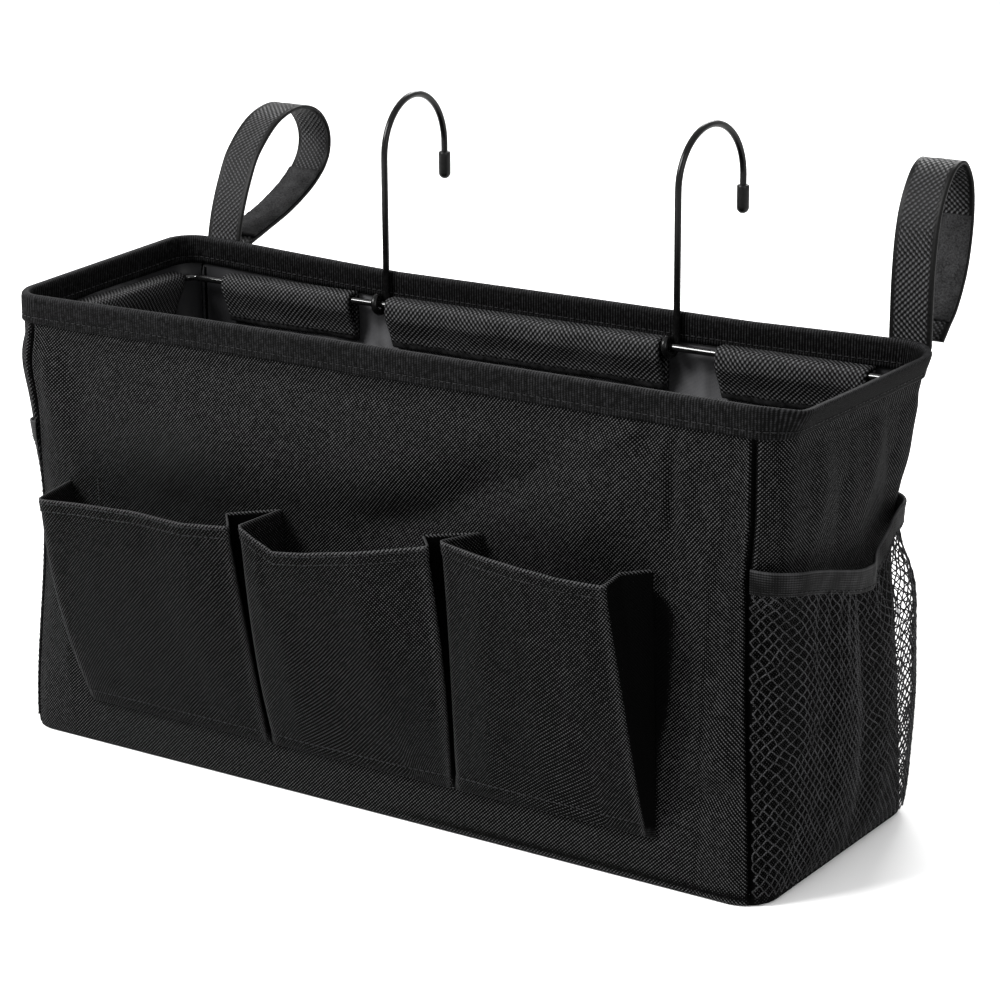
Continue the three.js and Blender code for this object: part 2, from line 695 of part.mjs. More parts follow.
// The line moved sideways by a distance, each corner along the bisector of its two sides.
function offsetLine(line, distance) {
  return line.map((point, i) => {
    const before = line[Math.max(i - 1, 0)];
    const after = line[Math.min(i + 1, line.length - 1)];
    const one = new THREE.Vector2().subVectors(i ? point : after, i ? before : point).normalize();
    const two = new THREE.Vector2()
      .subVectors(i < line.length - 1 ? after : point, i < line.length - 1 ? point : before)
      .normalize();
    const normal = new THREE.Vector2(one.y + two.y, -one.x - two.x).normalize();
    const corner_share = Math.max(least_corner_share, normal.dot(new THREE.Vector2(one.y, -one.x)));
    return point.clone().addScaledVector(normal, distance / corner_share);
  });
}
function pocket(side, number) {
  const strip_length = pocket_count * pocket_pitch;
  const left_seam = number * pocket_pitch - strip_length / 2;
  const share_across = (x) => THREE.MathUtils.inverseLerp(-strip_length / 2, strip_length / 2, x);
  const outer = [];
  const inner = [];
  for (let i = 0; i <= pocket_levels; i++) {
    const up = i / pocket_levels;
    const fill = 1 - (1 - up) ** pocket_rounding;
    const bow = pocket_bow * Math.sin(Math.PI * up);
    const line = pocket_lines[side].map(([across, out, , foot], k) => {
      const x = left_seam + pocket_pitch * lerp(foot, across, fill) + bow * pocket_bow_shares[k];
      const foot_out = k === 0 || k === pocket_lines[side].length - 1 ? fit_gap : pocket_bottom_out;
      return new THREE.Vector2(x, Math.max(fit_gap, lerp(foot_out, out * pocket_out[side], fill)));
    });
    const place = (point, k) => {
      const hem = lerp(pocket_top_left, pocket_top_right, share_across(point.x)) + pocket_lines[side][k][2];
      const z = lerp(pocket_floor, hem, up);
      return new THREE.Vector3(point.x, -frontDepth(z) - point.y, z);
    };
    inner.push(line.map(place));
    outer.push(offsetLine(line, -pocket_cloth).map(place));
  }
  add(`front_pocket_${side}`, sheet(outer, inner), cloth_black);
}
["left", "centre", "right"].forEach(pocket);

// Net pockets: the net runs round the end from seam to seam. A place on it is a share of the way from
// the front seam to the back one, a height, and how far it stands out.
function endPoint(share, z, out, mirror) {
  const r = cornerRadius(z);
  const arc = r * (right_angle - seamTurn(z)) * degrees;
  const straight = frontDepth(z) + backDepth(z) - 2 * r;
  const s = pocket_edge_gap + share * (2 * arc + straight - 2 * pocket_edge_gap);
  let station;
  if (s < arc) {
    station = { ...front_right, turn: (s - arc) / r / degrees };
  } else if (s < arc + straight) {
    station = { across: 1, deep: (2 * (s - arc)) / straight - 1, turn: 0 };
  } else {
    station = { ...back_right, turn: (s - arc - straight) / r / degrees };
  }
  return outlinePoint(station, z, -out, mirror);
}
function netOut(side, share, up) {
  const across = 1 - Math.abs(2 * share - 1) ** net_fullness[side];
  const rise = Math.sin(Math.PI * lerp(net_rise_start, net_rise_end, up)) ** net_rise_power;
  const folds = net_fold_depth * Math.sin(2 * Math.PI * net_folds * share) * across * up;
  return net_edge_out + net_bulge[side] * across * rise + folds;
}
const bandTop = (side, share) =>
  lerp(band_top[side], band_top_back, share) - band_sag * Math.sin(Math.PI * share);
const bandBottom = (side, share) => bandTop(side, share) - band_height;

// The net: tiles laid like bricks on end, every other column half a tile higher, each with a six-sided
// gap. Its places are shares across and up.
function netGeometry(side) {
  const places = [];
  const numbers = new Map();
  const vertex = (across, up) => {
    const key = `${across.toFixed(5)} ${up.toFixed(5)}`;
    if (!numbers.has(key)) numbers.set(key, places.push([across, up]) - 1);
    return numbers.get(key);
  };
  const faces = [];
  const tile_across = 1 / net_columns;
  const tile_up = 1 / (net_rows + 0.5);
  const strand_across = net_strand / 2 / mouth_depth;
  const strand_up = net_strand / 2 / (band_top[side] - band_height - net_floor);
  for (let column = 0; column < net_columns; column++) {
    const left = column * tile_across;
    const right = left + tile_across;
    const first = column % 2 ? 0.5 : 0;
    const filler = column % 2 ? 0 : net_rows * tile_up;
    faces.push(
      [vertex(left, filler), vertex(right, filler), vertex(right, filler + tile_up / 2)],
      [vertex(left, filler), vertex(right, filler + tile_up / 2), vertex(left, filler + tile_up / 2)],
    );
    for (let row = 0; row < net_rows; row++) {
      const low = (row + first) * tile_up;
      const high = low + tile_up;
      const middle = low + tile_up / 2;
      const rim = [[left, low], [right, low], [right, middle], [right, high], [left, high], [left, middle]];
      const gap = [
        [left + 2 * strand_across, low + strand_up],
        [right - 2 * strand_across, low + strand_up],
        [right - strand_across, middle],
        [right - 2 * strand_across, high - strand_up],
        [left + 2 * strand_across, high - strand_up],
        [left + strand_across, middle],
      ];
      rim.forEach((corner, i) => {
        const next = (i + 1) % rim.length;
        const [a, b] = [vertex(...corner), vertex(...rim[next])];
        const [c, d] = [vertex(...gap[next]), vertex(...gap[i])];
        faces.push([a, b, c], [a, c, d]);
      });
    }
  }
  const face = (out) =>
    places.map(([column_share, up]) => {
      const turn = 2 * Math.PI * column_share;
      const share = column_share - (net_end_crowding * Math.sin(turn)) / (2 * Math.PI);
      const z = lerp(net_floor, bandBottom(side, share) - fit_gap, up);
      return endPoint(share, z, netOut(side, share, up) + out, side === "left");
    });
  return thicken(face(net_thickness), face(0), faces);
}
function netPocket(side) {
  add(`net_pocket_${side}`, netGeometry(side), net_black);
  const face = (out) =>
    [bandBottom, bandTop].map((edge) =>
      Array.from({ length: band_steps + 1 }, (_, i) => {
        const share = i / band_steps;
        return endPoint(share, edge(side, share), netOut(side, share, 1) + out, side === "left");
      }),
    );
  add(`net_band_${side}`, sheet(face(band_thickness), face(0)), tape_black);
}
netPocket("right");
netPocket("left");

export default bag;
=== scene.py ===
import bpy
import numpy as np
from mathutils import Matrix


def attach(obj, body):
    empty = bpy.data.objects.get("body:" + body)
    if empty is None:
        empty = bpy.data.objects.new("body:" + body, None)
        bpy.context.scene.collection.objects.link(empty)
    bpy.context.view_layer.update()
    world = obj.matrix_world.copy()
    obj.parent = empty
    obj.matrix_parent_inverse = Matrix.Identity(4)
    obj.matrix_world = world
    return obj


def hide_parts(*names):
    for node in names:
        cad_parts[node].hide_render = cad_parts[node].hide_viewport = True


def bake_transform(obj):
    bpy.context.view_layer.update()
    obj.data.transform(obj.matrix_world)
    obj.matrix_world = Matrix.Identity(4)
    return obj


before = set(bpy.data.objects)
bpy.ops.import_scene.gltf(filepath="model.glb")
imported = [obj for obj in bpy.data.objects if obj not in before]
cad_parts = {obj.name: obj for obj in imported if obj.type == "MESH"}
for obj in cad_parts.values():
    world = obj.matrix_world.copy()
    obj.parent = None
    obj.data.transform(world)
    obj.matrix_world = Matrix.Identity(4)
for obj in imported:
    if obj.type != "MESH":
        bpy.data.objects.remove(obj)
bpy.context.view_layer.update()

# Camera. It looks at the bag from in front of its right half and a little above the rim, through a long
# lens, so that the front, the right end and the open mouth all show.
mm = 0.001
camera_turn, camera_rise, camera_roll = np.radians([34.012, 16.546, -0.388])
camera_target = np.array([26.0, 0.0, 123.1]) * mm
camera_distance = 1.255
camera_sensor, camera_lens = 36.0, 108.0  # millimetres, as the camera takes them


def unit(vectors):
    """Vectors scaled to length 1."""
    return vectors / np.linalg.norm(vectors, axis=-1, keepdims=True)


def stand(thing, side, up, back, place):
    """Puts a camera or lamp at a place, with its x, y and z axes along side, up and back."""
    turn = np.eye(4)
    turn[:3] = np.stack([side, up, back, place], axis=1)
    thing.matrix_world = Matrix(turn.tolist())
    bpy.context.scene.collection.objects.link(thing)


level_part = np.cos(camera_rise)
away = np.array([np.sin(camera_turn) * level_part, -np.cos(camera_turn) * level_part, np.sin(camera_rise)])
level = unit(np.cross(-away, [0, 0, 1]))
upward = np.cross(level, -away)
camera = bpy.data.objects.new("camera", bpy.data.cameras.new("camera"))
camera.data.sensor_width, camera.data.lens = camera_sensor, camera_lens
stand(
    camera,
    level * np.cos(camera_roll) + upward * np.sin(camera_roll),
    upward * np.cos(camera_roll) - level * np.sin(camera_roll),
    away,
    camera_target + away * camera_distance,
)
bpy.context.scene.camera = camera

# Studio. A plain white floor and room, a wide soft lamp above the front left, a weaker one to the right
# and one behind that draws the edges of the loops and hooks.
lamp_size = 0.9
floor_reach, floor_drop = 6.0, 0.2 * mm
white = (1, 1, 1, 1)
floor_white = (0.88, 0.88, 0.88, 1)
world = bpy.data.worlds.new("white_room")
world.use_nodes = True
world.node_tree.nodes["Background"].inputs["Color"].default_value = white
world.node_tree.nodes["Background"].inputs["Strength"].default_value = 1.0
bpy.context.scene.world = world
bpy.context.scene.view_settings.view_transform = "Standard"


def softbox(name, place, aim, watts):
    """A square lamp at a place, turned so that it shines along the line from place to aim."""
    lamp = bpy.data.lights.new(name, "AREA")
    lamp.size, lamp.energy = lamp_size, watts
    back = unit(np.subtract(place, aim))
    side = unit(np.cross([0, 0, 1], back))
    stand(bpy.data.objects.new(name, lamp), side, np.cross(back, side), back, place)


def shader(name, **sockets):
    """A new material and its node tree, with its shader's sockets set, spaces in their names written as
    underscores."""
    made = bpy.data.materials.new(name)
    made.use_nodes = True
    for socket, value in sockets.items():
        made.node_tree.nodes["Principled BSDF"].inputs[socket.replace("_", " ")].default_value = value
    return made, made.node_tree


softbox("key_lamp", (-1.1, -1.4, 1.6), (0, 0, 0.12), 100)
softbox("side_lamp", (1.7, -0.5, 0.9), (0, 0, 0.12), 9)
softbox("back_lamp", (-0.5, 1.5, 1.4), (0, 0, 0.2), 30)

floor_mesh = bpy.data.meshes.new("floor")
floor_corners = [(x * floor_reach, y * floor_reach, -floor_drop) for x, y in ((-1, -1), (1, -1), (1, 1), (-1, 1))]
floor_mesh.from_pydata(floor_corners, [], [(0, 1, 2, 3)])
floor_finish, _ = shader("white_floor", Base_Color=floor_white, Roughness=0.9)
floor_mesh.materials.append(floor_finish)
floor = bpy.data.objects.new("floor", floor_mesh)
bpy.context.scene.collection.objects.link(floor)

# Walls. Four panels of black woven polyester with a coated back, joined by a seam near each corner. The
# net pockets' elastic pulls the ends in at half height, and the lower edge turns under onto the base.
mouth_length, mouth_depth, mouth_corner = 387 * mm, 127 * mm, 14 * mm
waist_length, waist_front, waist_back, waist_corner = 370 * mm, 61.5 * mm, 63.2 * mm, 20 * mm
base_length, base_depth, base_corner = 377 * mm, 130 * mm, 15 * mm
waist_height, flare_height, wall_top = 105 * mm, 160 * mm, 198.9 * mm
cloth = 1.0 * mm
base_roll = 1.4 * mm  # radius at which a wall's lower edge turns under
turn_below, turn_mouth = np.radians(38), np.radians(8)  # how far round each corner the long walls reach
mouth_skew = 8 * mm  # how far the mouth's front left corner is drawn in towards the middle

# The sizes from here to the end of the walls' marks are in millimetres.
# [across, how far the rim stands above its level there], along the back and along the front
rim_back = np.array([
    (-194, 2.8), (-165, 2.0), (-130, 0.4), (-99, -0.9), (-70, -1.9), (30, -1.8), (110, -2.1), (169, -0.9), (194, -0.4),
])
rim_front = np.array([(-194, -1.0), (-150, -0.8), (-90, 0), (194, 0)])
rim_lean, lean_drop = 6.0, 1.3  # how far the right end's rim leans out, and how far it sinks by that
corner_swell, swell_height, swell_spread = 2.8, 169, 13  # the front left corner's bulge
# [height, how far the back right corner is drawn in there]
back_corner_draw = np.array([
    (30, 0), (60, -1.2), (95, -1.2), (112, 0.2), (124, 3.6), (133, 5.6), (144, 6), (160, 4.3), (174, 2.3), (187, 0.8),
])


def ramp(value, start, end):
    """0 at start, 1 at end and straight between them. The start may be the larger number."""
    return np.clip((value - start) / (end - start), 0, 1)


def swing(value, start, end):
    """Half a cosine wave from 0 at start to 1 at end, level at both."""
    return (1 - np.cos(np.pi * ramp(value, start, end))) / 2


def bell(value, middle, width):
    """A Gaussian bell: 1 at the middle, 1/e at the width to either side."""
    return np.exp(-(((value - middle) / width) ** 2))


def at_height(height, base, waist, mouth):
    """A size of the bag's outline at a height, eased from base to waist and from waist to mouth."""
    below = base + (waist - base) * swing(height, 0, waist_height)
    above = waist + (mouth - waist) * swing(height, waist_height, flare_height)
    return np.where(height < waist_height, below, above)


def half_sizes(height):
    """The outline at a height: half its length, how far its front and its back are from the middle, and its
    corners' radius."""
    return (
        at_height(height, base_length, waist_length, mouth_length) / 2,
        at_height(height, base_depth / 2, waist_front, mouth_depth / 2),
        at_height(height, base_depth / 2, waist_back, mouth_depth / 2),
        at_height(height, base_corner, waist_corner, mouth_corner),
    )


def skewed(points):
    """Points with the mouth's front left corner drawn in: x grows by the skew at that height, in proportion
    to how near the point is to the left end and to the front."""
    x, y, height = np.moveaxis(points, -1, 0)
    half = half_sizes(height)[0]
    drawn_in = at_height(height, 0, 0, mouth_skew) * (0.5 - x / half / 2) * (0.5 - y / mouth_depth)
    return points + np.stack([drawn_in, 0 * x, 0 * x], axis=-1)


def slumped(points):
    """Skewed points as the soft cloth stands: the rim sags and lifts along the front and back, the right
    end's rim leans out, its back corner is drawn in below and the front left corner swells."""
    x, y, height = np.moveaxis(points, -1, 0) / mm
    back_share = np.clip(0.5 + y * mm / mouth_depth, 0, 1)
    lift = np.interp(x, *rim_back.T) * back_share + np.interp(x, *rim_front.T) * (1 - back_share)
    right = swing(x, 150, 185)
    leaning = right * swing(y, -64, -54) * swing(y, 68, 42) * ramp(height, 187.5, 200)
    drawn_in = right * swing(y, -22, 54) * np.interp(height, *back_corner_draw.T)
    swell = corner_swell * swing(x, -150, -180) * swing(y, -20, -56) * bell(height, swell_height, swell_spread)
    lift = lift * swing(height, 150, 195) - lean_drop * leaning
    return skewed(points) + np.stack([rim_lean * leaning - drawn_in - swell, 0 * x, lift], axis=-1) * mm


def outline(side, share, height, out):
    """Points of one wall and their way along it. share runs from its first seam to its second, anticlockwise
    seen from above: part of a corner arc, a straight line, part of the next arc, measured along the cloth.
    out moves a point outwards, square to the outline."""
    half, front, back, radius = half_sizes(height)
    facing, reach, low, high = {
        "front": (-90, front, radius - half, half - radius),
        "right": (0, half, radius - front, back - radius),
        "back": (90, back, radius - half, half - radius),
        "left": (180, half, radius - back, front - radius),
    }[side]
    corner_turn = at_height(height, turn_below, turn_below, turn_mouth)
    arc = radius * (corner_turn if side in ("front", "back") else np.pi / 2 - corner_turn)
    way = share * (2 * arc + high - low)
    bend = (np.clip(way - arc - (high - low), 0, None) - np.clip(arc - way, 0, None)) / radius
    along = low + np.clip(way - arc, 0, high - low) + (radius + out) * np.sin(bend)
    away_from_middle = reach - radius + (radius + out) * np.cos(bend)
    turn = np.radians(facing)
    x = away_from_middle * np.cos(turn) - along * np.sin(turn)
    y = away_from_middle * np.sin(turn) + along * np.cos(turn)
    return np.stack(np.broadcast_arrays(x, y, height), axis=-1), way


def wall_ways(side, share, height):
    """The way along a wall to each share, and the wall's whole width at that height."""
    return outline(side, share, height, 0.0)[1], outline(side, 1.0, height, 0.0)[1]


def quads(table):
    """The four corners of each cell of a table of numbers or places, in turn."""
    return np.stack([table[:-1, :-1], table[:-1, 1:], table[1:, 1:], table[1:, :-1]], axis=2)


def grid(points, threads, wrap_rows=False, wrap_columns=False):
    """Vertices, four-cornered faces and their cloth places for a surface through rows and columns of
    points. Rows run up and columns to the right as seen from outside. threads holds each point's place on
    the flat cloth, with one row or column more where the surface closes on itself."""
    rows, columns = points.shape[:2]
    numbers = np.arange(rows * columns).reshape(rows, columns)
    if wrap_rows:
        numbers = np.vstack([numbers, numbers[:1]])
    if wrap_columns:
        numbers = np.hstack([numbers, numbers[:, :1]])
    return points.reshape(-1, 3), quads(numbers).reshape(-1, 4), quads(threads).reshape(-1, 4, 2)


def flipped(shape):
    """A shape with its faces turned to look the other way."""
    vertices, faces, places = shape
    return vertices, faces[:, ::-1], places[:, ::-1]


def gather(shapes):
    """Several sets of vertices, faces and cloth places as one set."""
    vertices, faces, places = zip(*shapes)
    starts = np.cumsum([0] + [len(part) for part in vertices[:-1]])
    faces = [part + start for part, start in zip(faces, starts)]
    return np.concatenate(vertices), np.concatenate(faces), np.concatenate(places)


def piece(name, shape, finish, slot, *nodes, marks=None, thickness=0.0, body="bag"):
    """A piece of the object from vertices, faces and cloth places. marks are numbers of its vertices that
    its material reads, thickness is how far the solid reaches inwards from the surface, and nodes are the
    solids that it stands for."""
    vertices, faces, places = shape
    mesh = bpy.data.meshes.new(name)
    mesh.from_pydata(vertices.tolist(), [], faces.tolist())
    mesh.uv_layers.new(name="cloth").data.foreach_set("uv", places.astype(np.float32).ravel())
    for mark_name, values in (marks or {}).items():
        mesh.attributes.new(mark_name, "FLOAT", "POINT").data.foreach_set("value", values.astype(np.float32).ravel())
    mesh.shade_smooth()
    mesh.materials.append(finish)
    made = bpy.data.objects.new(name, mesh)
    bpy.context.scene.collection.objects.link(made)
    if thickness:
        shell = made.modifiers.new("thickness", "SOLIDIFY")
        shell.thickness, shell.offset = thickness, -1
    if body:
        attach(made, body)
    if nodes:
        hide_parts(*nodes)
    return made


def node(tree, kind, *values, **settings):
    """The first output of a new shader node. A value that is another node's output is linked to the
    node's input, in order, and any other value is set on it."""
    made = tree.nodes.new("ShaderNode" + kind)
    for setting, value in settings.items():
        setattr(made, setting, value)
    for socket, value in zip(made.inputs, values):
        if isinstance(value, bpy.types.NodeSocket):
            tree.links.new(value, socket)
        elif value is not None:
            socket.default_value = value
    return made.outputs[0]


def maths(tree, operation, *values):
    """The output of a Math node."""
    return node(tree, "Math", *values, operation=operation)


def added(tree, base, *terms):
    """A base plus each term times its weight."""
    total = base
    for term, weight in terms:
        total = maths(tree, "MULTIPLY_ADD", term, weight, total)
    return total


def cloth_place(tree):
    """The two coordinates of a point on the flat cloth, in metres."""
    split = tree.nodes.new("ShaderNodeSeparateXYZ")
    place = tree.nodes.new("ShaderNodeUVMap")
    place.uv_map = "cloth"
    tree.links.new(place.outputs[0], split.inputs[0])
    return split.outputs[0], split.outputs[1]


def mark(tree, name):
    """A number of the mesh's own vertices, 0 where the mesh has none of that name."""
    found = tree.nodes.new("ShaderNodeAttribute")
    found.attribute_name = name
    return found.outputs["Fac"]


def wave(tree, value, length):
    """A sine wave of the value, one turn for each length."""
    return maths(tree, "SINE", maths(tree, "MULTIPLY", value, 2 * np.pi / length))


def patches(tree, size, detail=2.0):
    """Soft random patches of about a size, from 0 to 1, on the object's own coordinates."""
    coordinates = tree.nodes.new("ShaderNodeTexCoord").outputs["Object"]
    return node(tree, "TexNoise", coordinates, None, 1 / size, detail)


def lattice(tree, pitch, one_way, other_way):
    """The raised spots of a weave: two slanting waves, of which one shows more. They trade places where
    the mark named chevron is 1, as the light brings out one slant or the other round a bend."""
    across, up = cloth_place(tree)
    rising = wave(tree, maths(tree, "SUBTRACT", across, up), pitch)
    falling = wave(tree, maths(tree, "ADD", across, up), pitch)
    share = added(tree, one_way, (mark(tree, "chevron"), other_way - one_way))
    rest = maths(tree, "SUBTRACT", one_way + other_way, share)
    return added(tree, 0.0, (falling, rest), (rising, share))


def dress(made, pattern, dark, light, between, bump, depth):
    """Colours a material from dark to light as its pattern goes between two numbers, and raises it by the
    same pattern."""
    tree = made.node_tree
    colours = tree.nodes.new("ShaderNodeValToRGB")
    tree.links.new(pattern, colours.inputs[0])
    for stop, place, colour in zip(colours.color_ramp.elements, between, (dark, light)):
        stop.position, stop.color = place, (*colour, 1)
    principled = tree.nodes["Principled BSDF"]
    tree.links.new(colours.outputs[0], principled.inputs["Base Color"])
    relief = tree.nodes.new("ShaderNodeBump")
    relief.inputs["Strength"].default_value = bump
    relief.inputs["Distance"].default_value = depth
    tree.links.new(pattern, relief.inputs["Height"])
    tree.links.new(relief.outputs[0], principled.inputs["Normal"])
    return made


weave_pitch, cloth_patch = 1.57 * mm, 1.8 * mm
black = (0.0, 0.0, 0.0)
oxford, tree = shader("oxford_cloth", Roughness=0.8, Specular_IOR_Level=0.03)
# Its last term is painted light: it lightens the cloth for painted highlights and darkens it for painted shade and
# painted shadows, with a little plain tone change.
oxford_pattern = added(
    tree, 0.25, (lattice(tree, weave_pitch, 0.44, 0.15), 1.0), (patches(tree, cloth_patch, 3.0), 0.48),
    (mark(tree, "painted_light_and_tone"), 0.5),
)
dress(oxford, oxford_pattern, black, (0.053, 0.053, 0.054), between=(0.75, 1.0), bump=0.6, depth=0.25 * mm)


def crowded(count, crowding):
    """Shares from 0 to 1 that lie closer together near both ends: the share minus a part of a sine."""
    share = np.linspace(0, 1, count)
    return share - crowding * np.sin(2 * np.pi * share) / (2 * np.pi)


def folds(across, up, marks):
    """The sum of soft folds. Each is a ridge or hollow: a middle across and up, half a length, half a
    width, its lean from upright in degrees and its height, all with Gaussian fall-off."""
    total = np.zeros(np.broadcast(across, up).shape)
    for x, z, long, wide, lean, height in marks:
        turn = np.radians(lean)
        off_line = (across - x) * np.cos(turn) - (up - z) * np.sin(turn)
        on_line = (across - x) * np.sin(turn) + (up - z) * np.cos(turn)
        total = total + height * bell(off_line, 0, wide) * bell(on_line, 0, long)
    return total


def ripple(across, up, length, seed):
    """Uneven height from about -1 to 1: the mean of nine sine waves of about a length, in seeded
    directions."""
    turn, phase, stretch = np.random.default_rng(seed).random((3, 9))
    size = 2 * np.pi / (length * (0.6 + stretch))
    x, z = np.asarray(across)[..., None], np.asarray(up)[..., None]
    waves = np.sin(size * (x * np.cos(np.pi * turn) + z * np.sin(np.pi * turn)) + 2 * np.pi * phase)
    return waves.mean(axis=-1) * 2


# [across, up, half length, half width, lean, height], across from the wall's middle
end_folds = [
    (-32, 158, 26, 7, 8, 0.9), (-12, 162, 30, 6, -4, -1.3), (14, 158, 28, 8, 6, 0.9), (34, 164, 26, 6, -12, -1.1),
    (0, 181, 60, 4, 90, -0.7), (0, 105, 60, 14, 90, -1.2), (-6, 60, 44, 9, 5, -0.9),
]
wall_folds = {
    "front": [
        (-10, 180.5, 165, 4.5, 90, -0.9), (-75, 146, 62, 22, 84, 3.0), (8, 152, 30, 16, 60, 1.2),
        (52, 146, 40, 10, 62, -2.4), (14, 128, 30, 9, 84, -1.4), (112, 152, 36, 20, 38, 2.6),
        (120, 178, 20, 4, 62, 0.9), (134, 184, 7, 5, 0, -1.8), (146, 160, 24, 2.4, 0, -1.2),
        (153, 162, 24, 4, 0, 0.8), (-155, 170, 12, 9, 0, -1.3), (-168, 150, 22, 10, -20, 1.6),
        (163, 42, 20, 6, 72, -1.4), (166, 58, 14, 8, 10, 1.2), (160, 110, 45, 5, 4, 0.8), (-160, 60, 40, 8, 6, 0.9),
    ],
    "back": [
        (-60, 150, 60, 20, 80, 1.6), (70, 120, 60, 22, 70, -1.8), (110, 60, 50, 16, 40, 1.4),
        (-120, 70, 46, 18, -36, 1.5), (0, 40, 70, 12, 88, -1.0), (0, 180, 160, 5, 90, -0.7),
    ],
    "right": end_folds,
    "left": end_folds,
}
wall_seeds = {"front": 3, "back": 4, "right": 5, "left": 6}
fold_strength, fine_height, fine_length = 2.0, 0.28, 34
deepest, deeper_below = 0.9, 4  # how far a wall may sink behind the sleeves, and how much more below them
seam_depth, seam_width = 1.9, 1.2
welt_height, welt_width, welt_place = 0.45, 0.9, 2.6
# [height, how far across the right pocket's side keeps the light off the front wall]
pocket_shade = np.array([(24, 133), (30, 140), (60, 142), (72, 145), (112, 146.5), (117, 143.5), (121, 136)])


def wall_relief(side, way, whole, height):
    """How far, in millimetres, a wall stands out from its outline: its folds and a fine unevenness, faded
    out under the binding, at the floor and at its two seams."""
    across, up = (way - whole / 2) / mm, height / mm
    relief = fold_strength * folds(across, up, wall_folds[side])
    relief = relief + fine_height * ripple(across, up, fine_length, wall_seeds[side])
    relief = np.maximum(relief, -deepest - deeper_below * ramp(up, 163, 149))
    return relief * ramp(up, 186.5, 181.5) * ramp(up, 4, 12) * ramp(np.minimum(way, whole - way) / mm, 0, 8)


def panel(side, columns, rows):
    """A wall's surface: its outline at each height, raised by its relief, sunk at both seams with a low
    welt beside them, and turned under at its lower edge along a quarter circle."""
    quarter = np.linspace(np.pi / 2, 0, 7)
    heights = np.concatenate([base_roll * (1 - np.sin(quarter)), np.linspace(base_roll, wall_top, rows)[1:]])
    tucked = np.concatenate([base_roll * (1 - np.cos(quarter)), np.zeros(rows - 1)])
    share, height = np.meshgrid(crowded(columns, 0.62), heights)
    way, whole = wall_ways(side, share, height)
    from_seam, up = np.minimum(way, whole - way) / mm, height / mm
    seam = welt_height * bell(from_seam, welt_place, welt_width) - seam_depth * bell(from_seam, 0, seam_width)
    seam = seam * ramp(up, 188, 184) * np.maximum(ramp(up, 1, 5), 0.2)
    out = (wall_relief(side, way, whole, height) + seam) * mm - tucked[:, None]
    points = slumped(outline(side, share, height, out)[0])
    return points, np.stack([way, height], axis=-1), up, from_seam


for side, columns, rows in (("front", 230, 110), ("back", 170, 84), ("right", 110, 100), ("left", 110, 100)):
    points, threads, up, from_seam = panel(side, columns, rows)
    bend_start = 9.0 + 0.085 * (187 - up)  # the slant that shows changes where the wall turns away
    past_bend = ramp(from_seam, bend_start - 1, bend_start + 1)
    long_side = side in ("front", "back")
    # Painted light at the seams: a painted highlight on the low welt beside each seam and painted shade in its groove.
    painted_light_and_tone = 0.2 * bell(from_seam, 2.2, 0.5) - 0.9 * bell(from_seam, 0, 1.3)
    if side == "front":
        across = (threads[..., 0] - threads[:, -1:, 0] / 2) / mm
        # Painted shadow cast by the right pocket's side on the front wall beside it.
        shaded_to = np.interp(up, *pocket_shade.T)
        painted_light_and_tone = painted_light_and_tone - 0.75 * swing(across, shaded_to + 2.5, shaded_to - 2.5) * swing(across, 136, 137) * (up < 121)
        # A lighter line 1.6 mm up and a darker line 3.8 mm up along the front's lower edge, fading in from 20 mm left
        # of the middle to full 70 mm right of it.
        painted_light_and_tone = painted_light_and_tone + (0.25 * bell(up, 1.6, 0.8) - 0.8 * bell(up, 3.8, 0.9)) * swing(across, -20, 70)
    # Painted shade on the end walls behind the net pockets, below the elastic.
    if not long_side:
        painted_light_and_tone = painted_light_and_tone - 0.35 * ramp(up, 122, 114)
    made = piece(
        f"{side}_wall", grid(points, threads), oxford, "oxford_cloth",
        f"{side}_panel" if long_side else f"end_panel_{side}",
        marks={"chevron": 1 - past_bend if long_side else past_bend, "painted_light_and_tone": painted_light_and_tone}, thickness=cloth,
    )

# Seam thread. Black polyester thread in a lockstitch: each visible stitch is a short bead that dips into
# the cloth at both ends.
thread_width, thread_twist = 0.5 * mm, 0.5 * mm
bead_rings = np.array([-0.5, -0.3, 0.3, 0.5])
bead_widths = np.array([0.25, 1.0, 1.0, 0.25])
bead_sides = 6
seam_thread, tree = shader("seam_thread", Roughness=0.55, Specular_IOR_Level=0.06)
thread_wave = wave(tree, maths(tree, "ADD", *cloth_place(tree)), thread_twist)
thread_pattern = added(tree, patches(tree, 4 * mm), (thread_wave, 0.3))
dress(
    seam_thread, thread_pattern, (0.001, 0.001, 0.001), (0.022, 0.022, 0.023), between=(0.1, 1.0), bump=0.4,
    depth=0.1 * mm,
)


def run(line):
    """How far along a line each of its points lies."""
    return np.concatenate([[0], np.cumsum(np.linalg.norm(np.diff(line, axis=0), axis=1))])


def walk(values, way, at):
    """Points of a line, or other values along it, at given distances along it."""
    return np.stack([np.interp(at, way, column) for column in values.T], axis=-1)


def lid(ring, outward):
    """Four-cornered faces that close a ring with an even number of points."""
    k = np.arange(len(ring) // 2 - 1)
    faces = np.stack([ring[k], ring[k + 1], ring[-2 - k], ring[-1 - k]], axis=1)
    return faces if outward else faces[:, ::-1]


